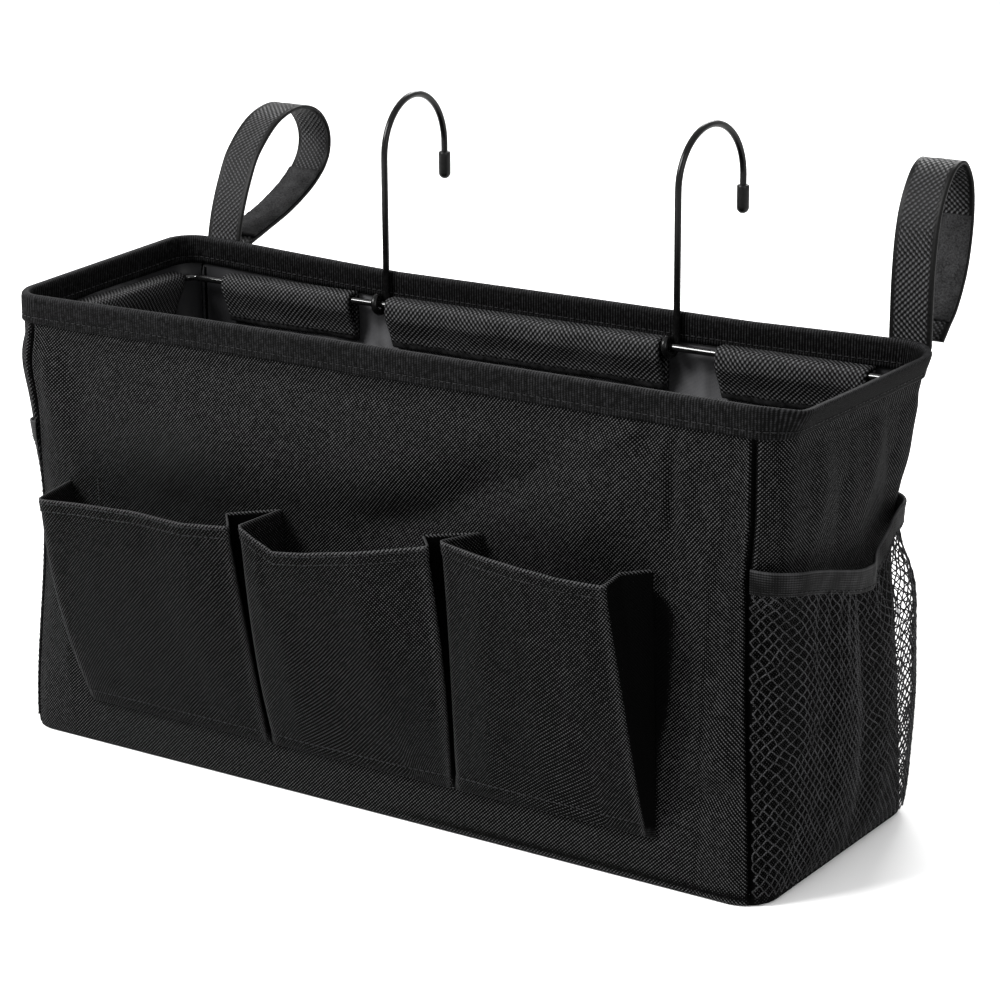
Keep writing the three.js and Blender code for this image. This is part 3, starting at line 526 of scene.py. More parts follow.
def stitches(line, outward, pitch=3.1 * mm, length=2.3 * mm, lift=0.12 * mm):
    """Beads of thread along a line of points, one each pitch: six-sided rings along the line, on a parabola
    that falls below the cloth at both ends. outward is square to the cloth."""
    way = run(line)
    middles = np.arange(pitch / 2, way[-1], pitch)
    centre = walk(line, way, middles)[:, None, None]
    ahead = unit(walk(line, way, middles + pitch / 4) - walk(line, way, middles - pitch / 4))[:, None, None]
    out = unit(walk(np.broadcast_to(outward, line.shape), way, middles))[:, None, None]
    turn = np.linspace(0, 2 * np.pi, bead_sides, endpoint=False)
    round_it = np.cos(turn)[:, None] * out + np.sin(turn)[:, None] * np.cross(ahead, out)
    rings, widths = bead_rings[:, None, None], bead_widths[:, None, None]
    points = centre + rings * length * ahead + lift * (1 - 6 * rings**2) * out
    points = points + widths * thread_width / 2 * round_it
    one = np.arange(bead_rings.size * bead_sides).reshape(-1, bead_sides)
    closed = np.hstack([one, one[:, :1]])
    faces = np.concatenate([quads(closed).reshape(-1, 4), lid(one[0], False), lid(one[-1], True)])
    every = (np.arange(len(middles)) * one.size)[:, None, None] + faces
    place = np.stack(np.meshgrid(bead_rings * length, turn * thread_width / 2, indexing="ij"), axis=-1)
    places = np.broadcast_to(place.reshape(-1, 2)[faces], (len(middles), len(faces), 4, 2))
    return points.reshape(-1, 3), every.reshape(-1, 4), places.reshape(-1, 4, 2)


# Base. A flat panel of the same cloth closes the bag below, and a stiff board lies loose on it.
def speckled(name, size, detail, dark, light, bump, depth, **sockets):
    """A material whose colour and relief vary in fine soft patches."""
    made, tree = shader(name, **sockets)
    return dress(made, patches(tree, size, detail), dark, light, between=(0.3, 0.7), bump=bump, depth=depth)


board = bpy.data.objects["base_board"]
board_finish = speckled(
    "pressed_board", 1.5 * mm, 6.0, (0.03, 0.03, 0.028), (0.075, 0.073, 0.07), 0.3, 0.1 * mm, Roughness=0.8,
)
for place_in_mesh in range(len(board.data.materials)):
    board.data.materials[place_in_mesh] = board_finish


def level_piece(height, inset, columns, rows, facing_up):
    """A level surface inside the outline at a height: straight rows from the front line to the back one."""
    half, front, back, radius = (size - inset for size in half_sizes(height))
    x = half * np.sin(np.linspace(-np.pi / 2, np.pi / 2, columns))
    rounding = np.sqrt(np.clip(radius**2 - np.clip(np.abs(x) - (half - radius), 0, None) ** 2, 0, None))
    share = np.linspace(0, 1, rows)[:, None]
    y = -(front - radius + rounding) * (1 - share) + (back - radius + rounding) * share
    points = np.stack(np.broadcast_arrays(x[None], y, float(height)), axis=-1)
    return points if facing_up else points[:, ::-1]


base_points = level_piece(0.0, base_roll - 0.2 * mm, 90, 30, False)
base_cloth = piece(
    "base_cloth", grid(base_points, base_points[..., :2]), oxford, "oxford_cloth", "base_panel", thickness=cloth,
)

# Lining. An inner bag of thin smooth satin with its own floor, caught under the rim binding. It hangs a
# little loose, so soft upright folds show between the sleeves.
lining_thickness, lining_inset, lining_floor = 0.5 * mm, 1.3 * mm, 4.1 * mm
fine_rows_from = 150 * mm
# [across, up, half length, half width, lean, height] in millimetres: folds at the back, then all round below
hanging_folds = [
    (-82, 170, 30, 2.6, 2, 1.0), (-77.5, 165, 30, 1.6, -3, -0.5), (88, 168, 30, 3.0, -2, 1.2),
    (93, 165, 26, 1.6, 4, -0.4), (-168, 168, 30, 2.0, 0, 0.9),
]
slack_folds = [(0, 120, 60, 20, 40, 2.2), (-120, 110, 50, 14, -20, 2.4), (110, 100, 56, 16, 24, 2.6),
               (60, 60, 40, 12, -40, 1.8)]
corner_shade = (190 * mm, 62 * mm)  # where the painted shade on the lining is darkest
satin, tree = shader("lining_satin", Roughness=0.42, Specular_IOR_Level=0.2)
satin_across, satin_up = cloth_place(tree)
satin_pattern = added(
    tree, patches(tree, 14 * mm), (wave(tree, satin_up, 0.6 * mm), 0.14), (wave(tree, satin_across, 0.45 * mm), 0.08),
    (mark(tree, "painted_light_and_tone"), 1.0),
)
dress(
    satin, satin_pattern, (0.014, 0.014, 0.015), (0.075, 0.075, 0.078), between=(0.25, 0.85), bump=0.2,
    depth=0.06 * mm,
)


def lining_walls():
    """The lining's wall, all the way round: the outline set in, with folds that only lean into the bag."""
    low_rows = np.linspace(lining_floor, fine_rows_from, 44)
    height = np.concatenate([low_rows, np.linspace(fine_rows_from, wall_top, 26)[1:]])[:, None]
    up = height / mm
    parts, ways, start = [], [], 0.0
    for side, count in (("front", 130), ("right", 60), ("back", 240), ("left", 60)):
        share = np.linspace(0, 1, count, endpoint=False)[None]
        way, whole = wall_ways(side, share, height)
        across = (way - whole / 2) / mm * (-1 if side == "back" else 1)
        from_seam = np.minimum(way, whole - way) / mm
        pushed = np.clip(-wall_relief(side, way, whole, height), 0, None)
        pushed = pushed + seam_depth * bell(from_seam, 0, seam_width) * ramp(up, 187, 183)
        loose = np.abs(folds(across, up, slack_folds)) + 0.9 * np.abs(ripple(across, up, 40, 8))
        loose = loose * ramp(up, 160, 150) * ramp(up, 8, 22)
        if side == "back":
            loose = loose + np.clip(folds(across, up, hanging_folds), 0, None) * ramp(up, 187, 181)
        parts.append(slumped(outline(side, share, height, -lining_inset - (loose + pushed) * mm)[0]))
        ways.append(start + way)
        start += float(whole[-1, 0])
    threads = np.concatenate([*ways, np.full((len(height), 1), start)], axis=1)
    return np.concatenate(parts, axis=1), np.stack(np.broadcast_arrays(threads, height), axis=-1)


wall_points, wall_threads = lining_walls()
floor_points = level_piece(lining_floor + lining_thickness, lining_inset + 0.2 * mm, 90, 34, True)
floor_points[..., 2] += 0.25 * mm * np.clip(ripple(floor_points[..., 0] / mm, floor_points[..., 1] / mm, 30, 9), 0, 1)
lining_shape = gather([
    flipped(grid(wall_points, wall_threads, wrap_columns=True)), grid(floor_points, floor_points[..., :2]),
])
# Painted shade in the lining's four corners.
from_corner = np.abs(np.abs(lining_shape[0][:, :2]) - corner_shade).sum(axis=1)
lining = piece(
    "lining_bag", lining_shape, satin, "lining_cloth", "lining", thickness=lining_thickness,
    marks={"painted_light_and_tone": -0.8 * swing(from_corner, 42 * mm, 28 * mm)},
)

# Wire ring. One loop of round steel wire under glossy black paint, bent to the mouth's outline and welded
# shut. The sleeves hide it but for the short bare lengths beside the hooks.
wire_radius = 1.5 * mm
ring_height, ring_inset, ring_points = 184 * mm, 8.35 * mm, 400
black_paint = speckled(
    "black_paint", 2.5 * mm, 4.0, (0.001, 0.001, 0.001), (0.004, 0.004, 0.004), 0.08, 0.05 * mm,
    Roughness=0.22, Specular_IOR_Level=0.16,
)
# The ring's paint is a lit copy of the hooks' paint: the same black paint made a little lighter and glossier, so that
# the level ring catches brighter highlights.
ring_paint_lit_copy = speckled(
    "ring_paint_lit_copy", 2.5 * mm, 4.0, (0.002, 0.002, 0.002), (0.006, 0.006, 0.006), 0.08, 0.05 * mm,
    Roughness=0.12, Specular_IOR_Level=0.5,
)
upright = np.array([0.0, 0.0, 1.0])


def mouth_line(way, inset):
    """Points of the mouth's outline, the outward direction there and the way round it. way is the length
    along it from the left end of its front: straight sides joined by quarter circles, all set in by inset."""
    counts = [1, 25, 25, 25, 25, 1]
    turn = np.concatenate([[-90], *(np.linspace(start, start + 90, 25) for start in (-90, 0, 90, 180)), [270]])
    turn = np.radians(turn)
    corner = np.stack([np.repeat([-1, 1, 1, -1, -1, -1], counts), np.repeat([-1, -1, 1, 1, -1, -1], counts)], axis=1)
    out = np.stack([np.cos(turn), np.sin(turn)], axis=1)
    line = corner * (np.array([mouth_length, mouth_depth]) / 2 - mouth_corner) + mouth_corner * out
    length = run(line)
    at = np.asarray(way) % length[-1]
    facing = unit(walk(out, length, at))
    return walk(line, length, at) - np.asarray(inset)[..., None] * facing, facing, length[-1]


def tube(path, reference, radius, sides=16, closed=False):
    """Round bars along paths, an array of paths, points and xyz. Each ring of points lies square to the
    path, at radius from it, and is counted from the reference direction."""
    ahead = np.roll(path, -1, axis=1) - np.roll(path, 1, axis=1)
    if not closed:
        ahead[:, 0], ahead[:, -1] = path[:, 1] - path[:, 0], path[:, -1] - path[:, -2]
    ahead = unit(ahead)
    one = unit(reference - (reference * ahead).sum(axis=2, keepdims=True) * ahead)
    two = np.cross(ahead, one)
    turn = np.linspace(0, 2 * np.pi, sides, endpoint=False)[:, None]
    wide = np.broadcast_to(radius, path.shape[:2])[:, :, None, None]
    points = path[:, :, None] + wide * (np.cos(turn) * one[:, :, None] + np.sin(turn) * two[:, :, None])
    count, length = path.shape[:2]
    numbers = np.arange(length * sides).reshape(length, sides)
    numbers = np.hstack([numbers, numbers[:, :1]])
    if closed:
        numbers = np.vstack([numbers, numbers[:1]])
    lengths = np.interp(np.arange(len(numbers)), np.arange(length), run(path[0]))
    around = np.linspace(0, 2 * np.pi, sides + 1) * np.mean(radius)
    faces = quads(numbers).reshape(-1, 4)
    corner = quads(np.stack(np.meshgrid(lengths, around, indexing="ij"), axis=-1)).reshape(-1, 4, 2)
    if not closed:
        lids = np.concatenate([lid(numbers[0, :-1], False), lid(numbers[-1, :-1], True)])
        faces = np.concatenate([faces, lids])
        corner = np.concatenate([corner, np.zeros((len(lids), 4, 2))])
    every = (np.arange(count) * length * sides)[:, None, None] + faces
    places = np.broadcast_to(corner, (count, len(faces), 4, 2))
    return points.reshape(-1, 3), every.reshape(-1, 4), places.reshape(-1, 4, 2)


mouth_way = mouth_line(0.0, 0.0)[2]
ring_way = np.linspace(0, mouth_way, ring_points, endpoint=False)
ring_xy = mouth_line(ring_way, np.full(ring_points, ring_inset))[0]
ring_path = skewed(np.column_stack([ring_xy, np.full(ring_points, ring_height)]))[None]
piece("mouth_wire", tube(ring_path, upright, wire_radius, closed=True), ring_paint_lit_copy, "black_wire", "wire_ring")

# Sleeves. Coarse woven webbing folded over the ring, its two edges turned in and sewn to the lining, in
# seven lengths with gaps for the hooks and at the corners.
sleeve_web, webbing_pitch = 1.2 * mm, 2.3 * mm
webbing, tree = shader("coarse_webbing", Roughness=0.6, Specular_IOR_Level=0.1)
webbing_pattern = added(
    tree, 0.28, (patches(tree, 3 * mm), 0.24),
    (lattice(tree, webbing_pitch, 0.30, 0.22), maths(tree, "SUBTRACT", 1.0, mark(tree, "smooth"))),
)
dress(
    webbing, webbing_pattern, (0.0005, 0.0005, 0.0005), (0.095, 0.095, 0.098), between=(0.34, 1.0), bump=0.8,
    depth=0.5 * mm,
)


def rounded(line, spacing, passes):
    """A closed line of points, spaced evenly and smoothed by averaging each point with its neighbours."""
    loop = np.vstack([line, line[:1]])
    way = run(loop)
    even = walk(loop, way, np.linspace(0, way[-1], int(way[-1] / spacing), endpoint=False))
    for _ in range(passes):
        even = (np.roll(even, 1, axis=0) + 2 * even + np.roll(even, -1, axis=0)) / 4
    return even


# [how far into the bag from the lining's face, height] in millimetres, as is all that a sleeve takes
sleeve_section = rounded(np.array([
    (0.3, 164.5), (1.4, 164.3), (2.4, 164.6), (3.1, 165.6), (3.6, 167.0), (5.2, 171.6), (7.6, 176.4),
    (9.2, 179.4), (9.5, 182.4), (9.45, 184.8), (8.6, 186.4), (7.0, 187.1), (5.4, 187.2), (3.6, 187.0),
    (2.0, 187.1), (0.7, 187.2), (0.3, 186.6), (0.3, 180.0), (0.3, 172.0),
]), 0.75, 2)
sleeve_step = 2.2
seam_inside, seam_height = 4.05, 167.6  # where the stitches lie in the section


def sleeve(name, start, end, inward, reach, seed):
    """A sleeve along a straight side: the section carried from start to end, a little uneven on its face and
    at its lower edge. inward is the way into the bag and reach how far the lining's face is from the middle.
    The stitches along the lower edge are returned."""
    inward = np.array(inward, float)
    along = np.cross(inward, upright)
    depth, height = sleeve_section.T
    way = np.linspace(start, end, int((end - start) / sleeve_step))
    depth = depth + 0.35 * ripple(way[:, None], height, 26, seed) * ramp(depth, 2, 6) * ramp(height, 188, 185)
    droop = 0.5 * ripple(way, 0, 40, seed + 20)[:, None] * ramp(height, 168, 165)
    points = (depth - reach)[..., None] * inward + way[:, None, None] * along
    points = (points + (height + droop)[..., None] * upright) * mm
    loose = ramp(height, 187, 181)[:, None]
    points = skewed(points) * (1 - loose) + slumped(points) * loose
    round_way = run(np.vstack([sleeve_section, sleeve_section[:1]]))
    threads = np.stack(np.meshgrid(round_way * mm, way * mm), axis=-1)
    chevron = np.clip(3 * np.sin(2 * np.pi * (way + 9 * seed) / 58)[:, None] + (height - 178) / 5, 0, 1)
    smooth = np.broadcast_to(ramp(height, 168.2, 167), chevron.shape)
    made = piece(
        f"sleeve_{name}", grid(points, threads, wrap_columns=True), webbing, "webbing", f"wire_sleeve_{name}",
        marks={"chevron": chevron, "smooth": smooth}, thickness=sleeve_web,
    )
    seam_way = np.linspace(start + 1, end - 1, 120)[:, None]
    sewn = (seam_way * along + (seam_inside - reach) * inward + seam_height * upright) * mm
    return stitches(sewn, inward * 0.93 + upright * 0.36, pitch=2.8 * mm, length=2.0 * mm)


lining_side, lining_end = 63.5 - 1.8, 193.5 - 1.8  # how far the lining's face is from the middle
from_back, from_front, from_left, from_right = (0, -1, 0), (0, 1, 0), (1, 0, 0), (-1, 0, 0)
sleeve_table = (
    ("back_left", 91.3, 164, from_back, lining_side, 1),
    ("back_centre", -70.9, 71.1, from_back, lining_side, 2),
    ("back_right", -168, -98, from_back, lining_side, 3),
    ("front_left", -150.5, -12, from_front, lining_side, 4),
    ("front_right", 12, 150.5, from_front, lining_side, 5),
    ("end_left", -48, 48, from_left, lining_end, 6),
    ("end_right", -48, 48, from_right, lining_end, 7),
)
piece("sleeve_thread", gather([sleeve(*row) for row in sleeve_table]), seam_thread, "webbing")

# Rim binding. A ribbed grosgrain tape, 25 mm wide, folded over the top edges of walls and lining and
# sewn through near its lower edges. Its ribs stand upright, 1.3 mm apart, and it pulls in at the seam.
rib_pitch, rib_points = 1.3 * mm, 4
rib_height, binding_seam = 0.10, 190.3  # in millimetres, as is the section
# [set in from the wall's face, height, how much of the ribs show]
binding_section = np.array([
    (-1.1, 187.5, 0.5), (-1.15, 188.4, 1), (-1.12, 189.4, 1), (-1.1, 190.3, 1), (-1.12, 191.2, 1),
    (-1.15, 193.2, 1), (-1.15, 195.6, 1), (-1.1, 197.6, 1), (-0.85, 199.0, 0.7), (-0.2, 199.75, 0.4),
    (0.9, 200.0, 0.3), (2.0, 199.75, 0.4), (2.65, 199.0, 0.7), (2.9, 197.6, 1), (2.9, 194.6, 1),
    (2.9, 191.4, 1), (2.9, 190.3, 1), (2.9, 189.2, 1), (2.9, 187.5, 0.5), (2.1, 187.5, 0), (2.1, 198.9, 0),
    (-0.3, 198.9, 0), (-0.3, 187.5, 0),
])
grosgrain, tree = shader("grosgrain_tape", Roughness=0.65, Specular_IOR_Level=0.04)
tape_along, tape_across = cloth_place(tree)
grosgrain_pattern = added(
    tree, 0.05, (wave(tree, tape_along, rib_pitch), 0.16), (wave(tree, tape_across, 0.7 * mm), 0.07),
    (patches(tree, 1.6 * mm, 3.0), 0.6), (mark(tree, "painted_light_and_tone"), 0.5),
)
dress(grosgrain, grosgrain_pattern, black, (0.020, 0.020, 0.021), between=(0.36, 0.78), bump=0.5, depth=0.2 * mm)

rib_count = int(round(mouth_way / rib_pitch))
binding_way = np.linspace(0, mouth_way, rib_count * rib_points, endpoint=False)
inset, height, ribbed = binding_section.T
ribs = rib_height * np.cos(2 * np.pi * np.arange(len(binding_way)) / rib_points)[:, None] * ribbed
uneven = 0.3 * ripple(binding_way / mm, 0, 60, 31)[:, None] * ramp(height, 191, 188)
pulled = 0.22 * bell(height, binding_seam, 0.8) * (np.abs(inset - 0.9) > 1.9)
swell = np.where(inset < 0, -1, 1) * (ribs - pulled)
swell[:, -4:] = 0  # the tape's inner face is flat
place_xy = mouth_line(binding_way[:, None] + 0 * inset, (inset + swell) * mm)[0]
binding_points = slumped(np.concatenate([place_xy, ((height + uneven) * mm)[..., None]], axis=2))
around_tape = run(binding_section[:, :2])
around_tape = np.append(around_tape, around_tape[-1] + 0.8)
binding_threads = np.stack(np.meshgrid(np.append(binding_way, mouth_way), around_tape * mm, indexing="ij"), axis=-1)
# Painted highlight along the tape's top fold.
painted_crown_highlight = 0.5 * bell(height, 200, 0.9)
binding = piece(
    "rim_tape", flipped(grid(binding_points, binding_threads, wrap_rows=True, wrap_columns=True)), grosgrain,
    "grosgrain_tape", "rim_binding", marks={"painted_light_and_tone": np.broadcast_to(painted_crown_highlight, binding_points.shape[:2])},
)

seam_way = np.linspace(0, mouth_way, 1200)
tape_rows = []
for seam_inset, facing_sign in ((-1.0, 1), (2.8, -1)):
    seam_xy, facing, _ = mouth_line(seam_way, seam_inset * mm)
    seam_line = slumped(np.column_stack([seam_xy, 0 * seam_way + binding_seam * mm]))
    tape_rows.append(stitches(seam_line, np.column_stack([facing, 0 * seam_way]) * facing_sign, pitch=3.0 * mm))
piece("binding_thread", gather(tape_rows), seam_thread, "grosgrain_tape")

# Front pockets. One strip of the wall's cloth, pleated beside each divider seam so that every pocket can
# open, with a hem along its top edge and its lower edge turned in and sewn down.
pocket_pitch, pocket_floor, pocket_cloth = 94 * mm, 21 * mm, 0.9 * mm
strip_length = 3 * pocket_pitch
pocket_tops = 121 * mm, 130 * mm  # at the strip's left and right end
# [across, out at the hem, the hem's rise in millimetres, across at the foot] from one seam to the next
pocket_plans = {
    "left": np.array([
        (-0.16, 0.01, -2, -0.07), (-0.037, 1.06, -0.5, -0.045), (0.2, 1.03, 0.2, 0.14), (0.5, 1.02, 0.5, 0.48),
        (0.78, 1.03, -1.2, 0.77), (1.005, 0.94, -0.5, 0.984), (0.862, 0.46, -0.5, 0.989), (1.055, 0.02, 0, 0.995),
    ]),
    "centre": np.array([
        (0.075, 0.02, 0, 0.006), (0.075, 0.94, 0.3, 0.03), (0.27, 0.99, -7.6, 0.2), (0.45, 1.02, -5.8, 0.5),
        (0.7, 1.02, -2, 0.8), (1.03, 0.81, 3, 0.988), (0.92, 0.45, 3.4, 0.992), (1.114, 0.02, 3.4, 0.996),
    ]),
    "right": np.array([
        (0.134, 0.02, 3.4, 0.006), (0.08, 0.71, 4.6, 0.028), (0.298, 0.9, 3.6, 0.2), (0.53, 1, 1.9, 0.5),
        (0.7, 1, 0.3, 0.8), (0.899, 0.91, -0.8, 0.975), (0.894, 0.48, 0.9, 0.985), (0.968, 0.02, -0.5, 1.01),
    ]),
}
# [how far the creases swing out sideways at half height, how far they stand out at the foot]
pocket_bows = np.array([(0, 0.3), (1.2, 1.2), (1.2, 1.2), (1.6, 1.2), (2.4, 1.2), (4, 1.2), (4, 1.2), (0, 0.3)]) * mm
plan_points = [16, 18, 26, 26, 16, 12, 18]  # points between one mark of a plan and the next
pocket_rows_up = 76
hem_height = 6.0  # millimetres, as are the sizes that the folds take
hem_seams = 1.6 * mm, 5.2 * mm  # below the top edge
thread_clear = 0.05 * mm


def pocket(side, number, reach, face_folds, seed):
    """A pocket from its plan line: gusset, face and a pleat folded back, as shares of the pitch across and
    of its reach outwards. Going down the line eases into the nearly flat line of the bottom seam, by
    1 - (1 - share)^2. Creases are rounded by averaging neighbours, and the hem stands half a cloth proud.
    The rows of stitches are returned."""
    left_seam = number * pocket_pitch - strip_length / 2
    at = np.concatenate([k + np.linspace(0, 1, c, endpoint=False) for k, c in enumerate(plan_points)] + [[7]])
    up = np.linspace(0, 1, pocket_rows_up)[:, None] ** 0.9
    fill = 1 - (1 - up) ** 2
    plan = np.hstack([pocket_plans[side], pocket_bows])
    top_across, top_out, top_rise, foot_across, bow, foot_out = walk(plan, np.arange(len(plan)), at).T
    across = left_seam + pocket_pitch * (foot_across * (1 - fill) + top_across * fill) + np.sin(np.pi * up) * bow
    out = np.maximum(0.3 * mm, foot_out * (1 - fill) + top_out * reach * fill)
    for line in (across, out, across, out):
        line[:, 1:-1] = (line[:, :-2] + 2 * line[:, 1:-1] + line[:, 2:]) / 4
    top = pocket_tops[0] + (pocket_tops[1] - pocket_tops[0]) * (across / strip_length + 0.5) + top_rise * mm
    height = pocket_floor + (top - pocket_floor) * up
    below_top, x, z = (top - height) / mm, (across - left_seam) / mm, height / mm
    relief = folds(x, z, face_folds) + 0.25 * ripple(x, z, 26, seed)
    relief = relief * ramp(at, 1, 1.5) * ramp(at, 5, 4.5) * ramp(z, 24, 34)
    hem = 0.45 * ramp(below_top, hem_height, hem_height - 0.5) - 0.3 * bell(below_top, 5.2, 0.5)
    foot_fold = 0.4 * ramp(z, 26, 25.5)
    front = half_sizes(height)[1]
    points = np.stack([across, -front - out, height], axis=-1)
    ahead = np.gradient(points[..., :2], axis=1)
    square = unit(np.stack([ahead[..., 1], -ahead[..., 0], 0 * height], axis=-1))
    points += square * (pocket_cloth + (relief + hem + foot_fold) * mm)[..., None]
    points[..., 1] = np.minimum(points[..., 1], -front - 0.35 * mm)
    way = run(points[-1, :, :2])
    threads = np.stack(np.broadcast_arrays(way + number * 0.12, height), axis=-1)
    # Painted light on the pocket cloth: painted highlights along the two creases and the hem's top edge, painted shade
    # inside the pleat folded back beside the right crease, and a slightly darker tone all over.
    painted_crease_highlight = bell(at, 1, 0.1) + bell(at, 5, 0.1)
    painted_pleat_shade = ramp(at, 5.06, 5.185) * ramp(below_top, 0, 2) * ramp(z, 22, 29)
    painted_light_and_tone = 0.4 * painted_crease_highlight + bell(below_top, 0, 0.9) - 0.9 * painted_pleat_shade - 0.1
    chevron = np.broadcast_to(np.maximum(ramp(at, 4.92, 5.045), 0.1), height.shape)
    made = piece(
        f"pocket_{side}", grid(points, threads), oxford, "oxford_cloth", f"front_pocket_{side}",
        marks={"painted_light_and_tone": painted_light_and_tone, "chevron": chevron}, thickness=pocket_cloth,
    )
    rows = []
    sewn = np.flatnonzero(at < 5.05)
    for drop in hem_seams:
        row = np.argmin(np.abs(up - 1 + drop / (top - pocket_floor)), axis=0)[sewn]
        line, outward = points[row, sewn], square[row, sewn]
        line[:, 2] = top[row, sewn] - drop
        rows.append(stitches(line + outward * thread_clear, outward, pitch=2.7 * mm, length=2.0 * mm))
    outward = square[3, sewn]
    rows.append(stitches(points[3, sewn] + outward * thread_clear, outward, pitch=2.8 * mm, length=2.1 * mm))
    return rows


pocket_rows = []
for side, number, reach, face_folds, seed in (
    ("left", 0, 32 * mm, [(30, 90, 40, 14, 10, 0.8), (62, 60, 36, 12, -14, -0.9), (20, 38, 14, 4, 80, -0.7)], 11),
    ("centre", 1, 31 * mm, [(16, 100, 30, 8, -12, 1.2), (50, 80, 34, 12, 8, -1.0), (74, 60, 30, 9, -6, 0.7)], 12),
    ("right", 2, 29 * mm, [(24, 96, 34, 12, 6, 0.8), (58, 76, 40, 14, 4, -0.8), (80, 100, 26, 7, -4, 0.8)], 13),
):
    pocket_rows += pocket(side, number, reach, face_folds, seed)
divider_heights = np.linspace(24, 122, 120) * mm
divider_front = -half_sizes(divider_heights)[1] - 1.5 * mm
divider_line = np.column_stack([0 * divider_heights - 140.6 * mm, divider_front, divider_heights])
pocket_rows.append(stitches(divider_line, np.array([0.0, -1.0, 0.0]), pitch=2.8 * mm, length=2.1 * mm))
piece("pocket_thread", gather(pocket_rows), seam_thread, "oxford_cloth")

# Net pockets. Thin knitted net with cells of about 4 mm, cut wider than the end and gathered into a
# folded elastic tape along its top edge, so that it hangs in soft upright folds. Sewn in the corner seams.
net_floor, net_gap = 4 * mm, 0.6 * mm
band_height, strand_radius = 10.5 * mm, 0.31 * mm
net_columns, net_rows, tip_roundness = 33, 52, 0.86
# [share from the front seam, width in shares, height in millimetres] of the net's upright folds
net_fold_marks = [(0.30, 0.09, 2.0), (0.50, 0.055, -3.4), (0.62, 0.06, 1.6), (0.80, 0.05, 1.8), (0.14, 0.05, 1.2)]
net_yarn, tree = shader("net_yarn", Roughness=0.5, Specular_IOR_Level=0.12)
yarn_pattern = added(tree, patches(tree, 5 * mm), (wave(tree, cloth_place(tree)[0], 0.9 * mm), 0.2))
dress(
    net_yarn, yarn_pattern, (0.002, 0.002, 0.002), (0.036, 0.036, 0.038), between=(0.25, 0.95), bump=0.3,
    depth=0.1 * mm,
)
elastic, tree = shader("elastic_tape", Roughness=0.6, Specular_IOR_Level=0.05)
elastic_along, elastic_up = cloth_place(tree)
elastic_pattern = added(
    tree, 0.0, (wave(tree, elastic_along, 0.8 * mm), 0.08), (wave(tree, elastic_up, 1.05 * mm), 0.16),
    (patches(tree, 8 * mm), 0.9), (mark(tree, "painted_light_and_tone"), 0.5),
)
dress(
    elastic, elastic_pattern, (0.0005, 0.0005, 0.0005), (0.029, 0.029, 0.030), between=(0.42, 1.0), bump=0.4,
    depth=0.15 * mm,
)


def end_place(share, height, out, mirror):
    """Points on the right end wall, or mirrored on the left one, share from the front seam to the back."""
    whole = wall_ways("right", share, height)[1]
    inside = (net_gap + share * (whole - 2 * net_gap)) / whole
    return slumped(outline("right", inside, height, out)[0] * [mirror, 1, 1])


def net_out(share, up, mirror):
    """How far the net stands off the end: a bulge that is full across the middle and rises from the floor
    as a power of a sine, with upright folds that grow towards the gathered top."""
    below_band = swing(up, 1, 0.8) * (share > 0.5)
    inside = 1 - np.abs(2 * share - 1) ** (3 + 3 * below_band if mirror > 0 else 1.5)
    if mirror < 0:
        inside = inside * swing(share, 0, 0.45)
    rise = np.sin(np.pi * (0.015 + 0.685 * up)) ** 0.6
    gathers = 0.5 * np.sin(6 * np.pi * share) * inside * up
    close = 1 - 0.55 * swing(share, 0.54, 0.68) * swing(up, 0.8, 1) * (mirror > 0)
    return (0.6 + close * (11.5 if mirror > 0 else 9) * inside * rise + gathers) * mm


def band_top(share, mirror):
    """Height of the elastic's top edge: on the left straight from seam to seam, less a sag of half a sine,
    and on the right a sag that deepens to a kink just short of the back corner."""
    if mirror < 0:
        return (143 - 12.5 * share - 3 * np.sin(np.pi * share)) * mm
    return (136.5 - 13.5 * swing(share, 0, 0.59) + 13 * swing(share, 0.6, 0.86)) * mm


def net_place(share, up, mirror):
    """A place on the gathered net. The folds are Gaussian ridges that lean a little and deepen upwards."""
    height = net_floor + (band_top(share, mirror) - band_height + 1.0 * mm - net_floor) * up
    deep = sum(size * bell(share, middle + 0.05 * (1 - up), wide) for middle, wide, size in net_fold_marks)
    fine = 0.5 * np.sin(2 * np.pi * 17 * share + 1.5 * np.sin(9 * up)) * up**3
    inside = 1 - np.abs(2 * share - 1) ** 6
    raised = (deep * (0.35 + 0.65 * up) + fine) * inside * ramp(up, 0, 0.2) * mm
    return end_place(share, height, np.maximum(net_out(share, up, mirror) + raised, 0.5 * mm), mirror)


def net(side, mirror):
    """The net as zigzag strands, one for each half row of cells, that touch at their turns: a triangle
    wave with rounded tips. Strands are four-sided and thicker at the knots where two touch."""
    share = np.linspace(0, 1, 6 * net_columns + 1)
    row = np.arange(net_rows)[:, None]
    zigzag = np.arcsin(tip_roundness * np.cos(2 * np.pi * (share * net_columns + row / 2))) / np.arcsin(tip_roundness)
    up = (row + 0.5 + 0.51 * zigzag) / net_rows
    jitter = 0.007 * ripple(share * 60, up * 60, 7, 41)
    path = net_place(np.clip(share + jitter, 0, 1), np.clip(up, 0, 1), mirror)
    knots = strand_radius * (1 + 0.45 * np.abs(zigzag) ** 8)
    strands = tube(path, np.array([float(mirror), 0.0, 0.0]), knots, sides=4)
    made = piece(f"net_{side}", strands, net_yarn, "polyester_net", f"net_pocket_{side}")


# [how far out from the net, height above the band's lower edge] in millimetres
band_section = rounded(np.array([
    (0.0, 0.0), (0.8, -0.05), (1.6, 0.0), (1.75, 2.5), (1.75, 5.2), (1.7, 8.5), (1.45, 10.1), (0.8, 10.5),
    (0.15, 10.1), (0.0, 8.0), (0.0, 4.0),
]), 0.3, 1)


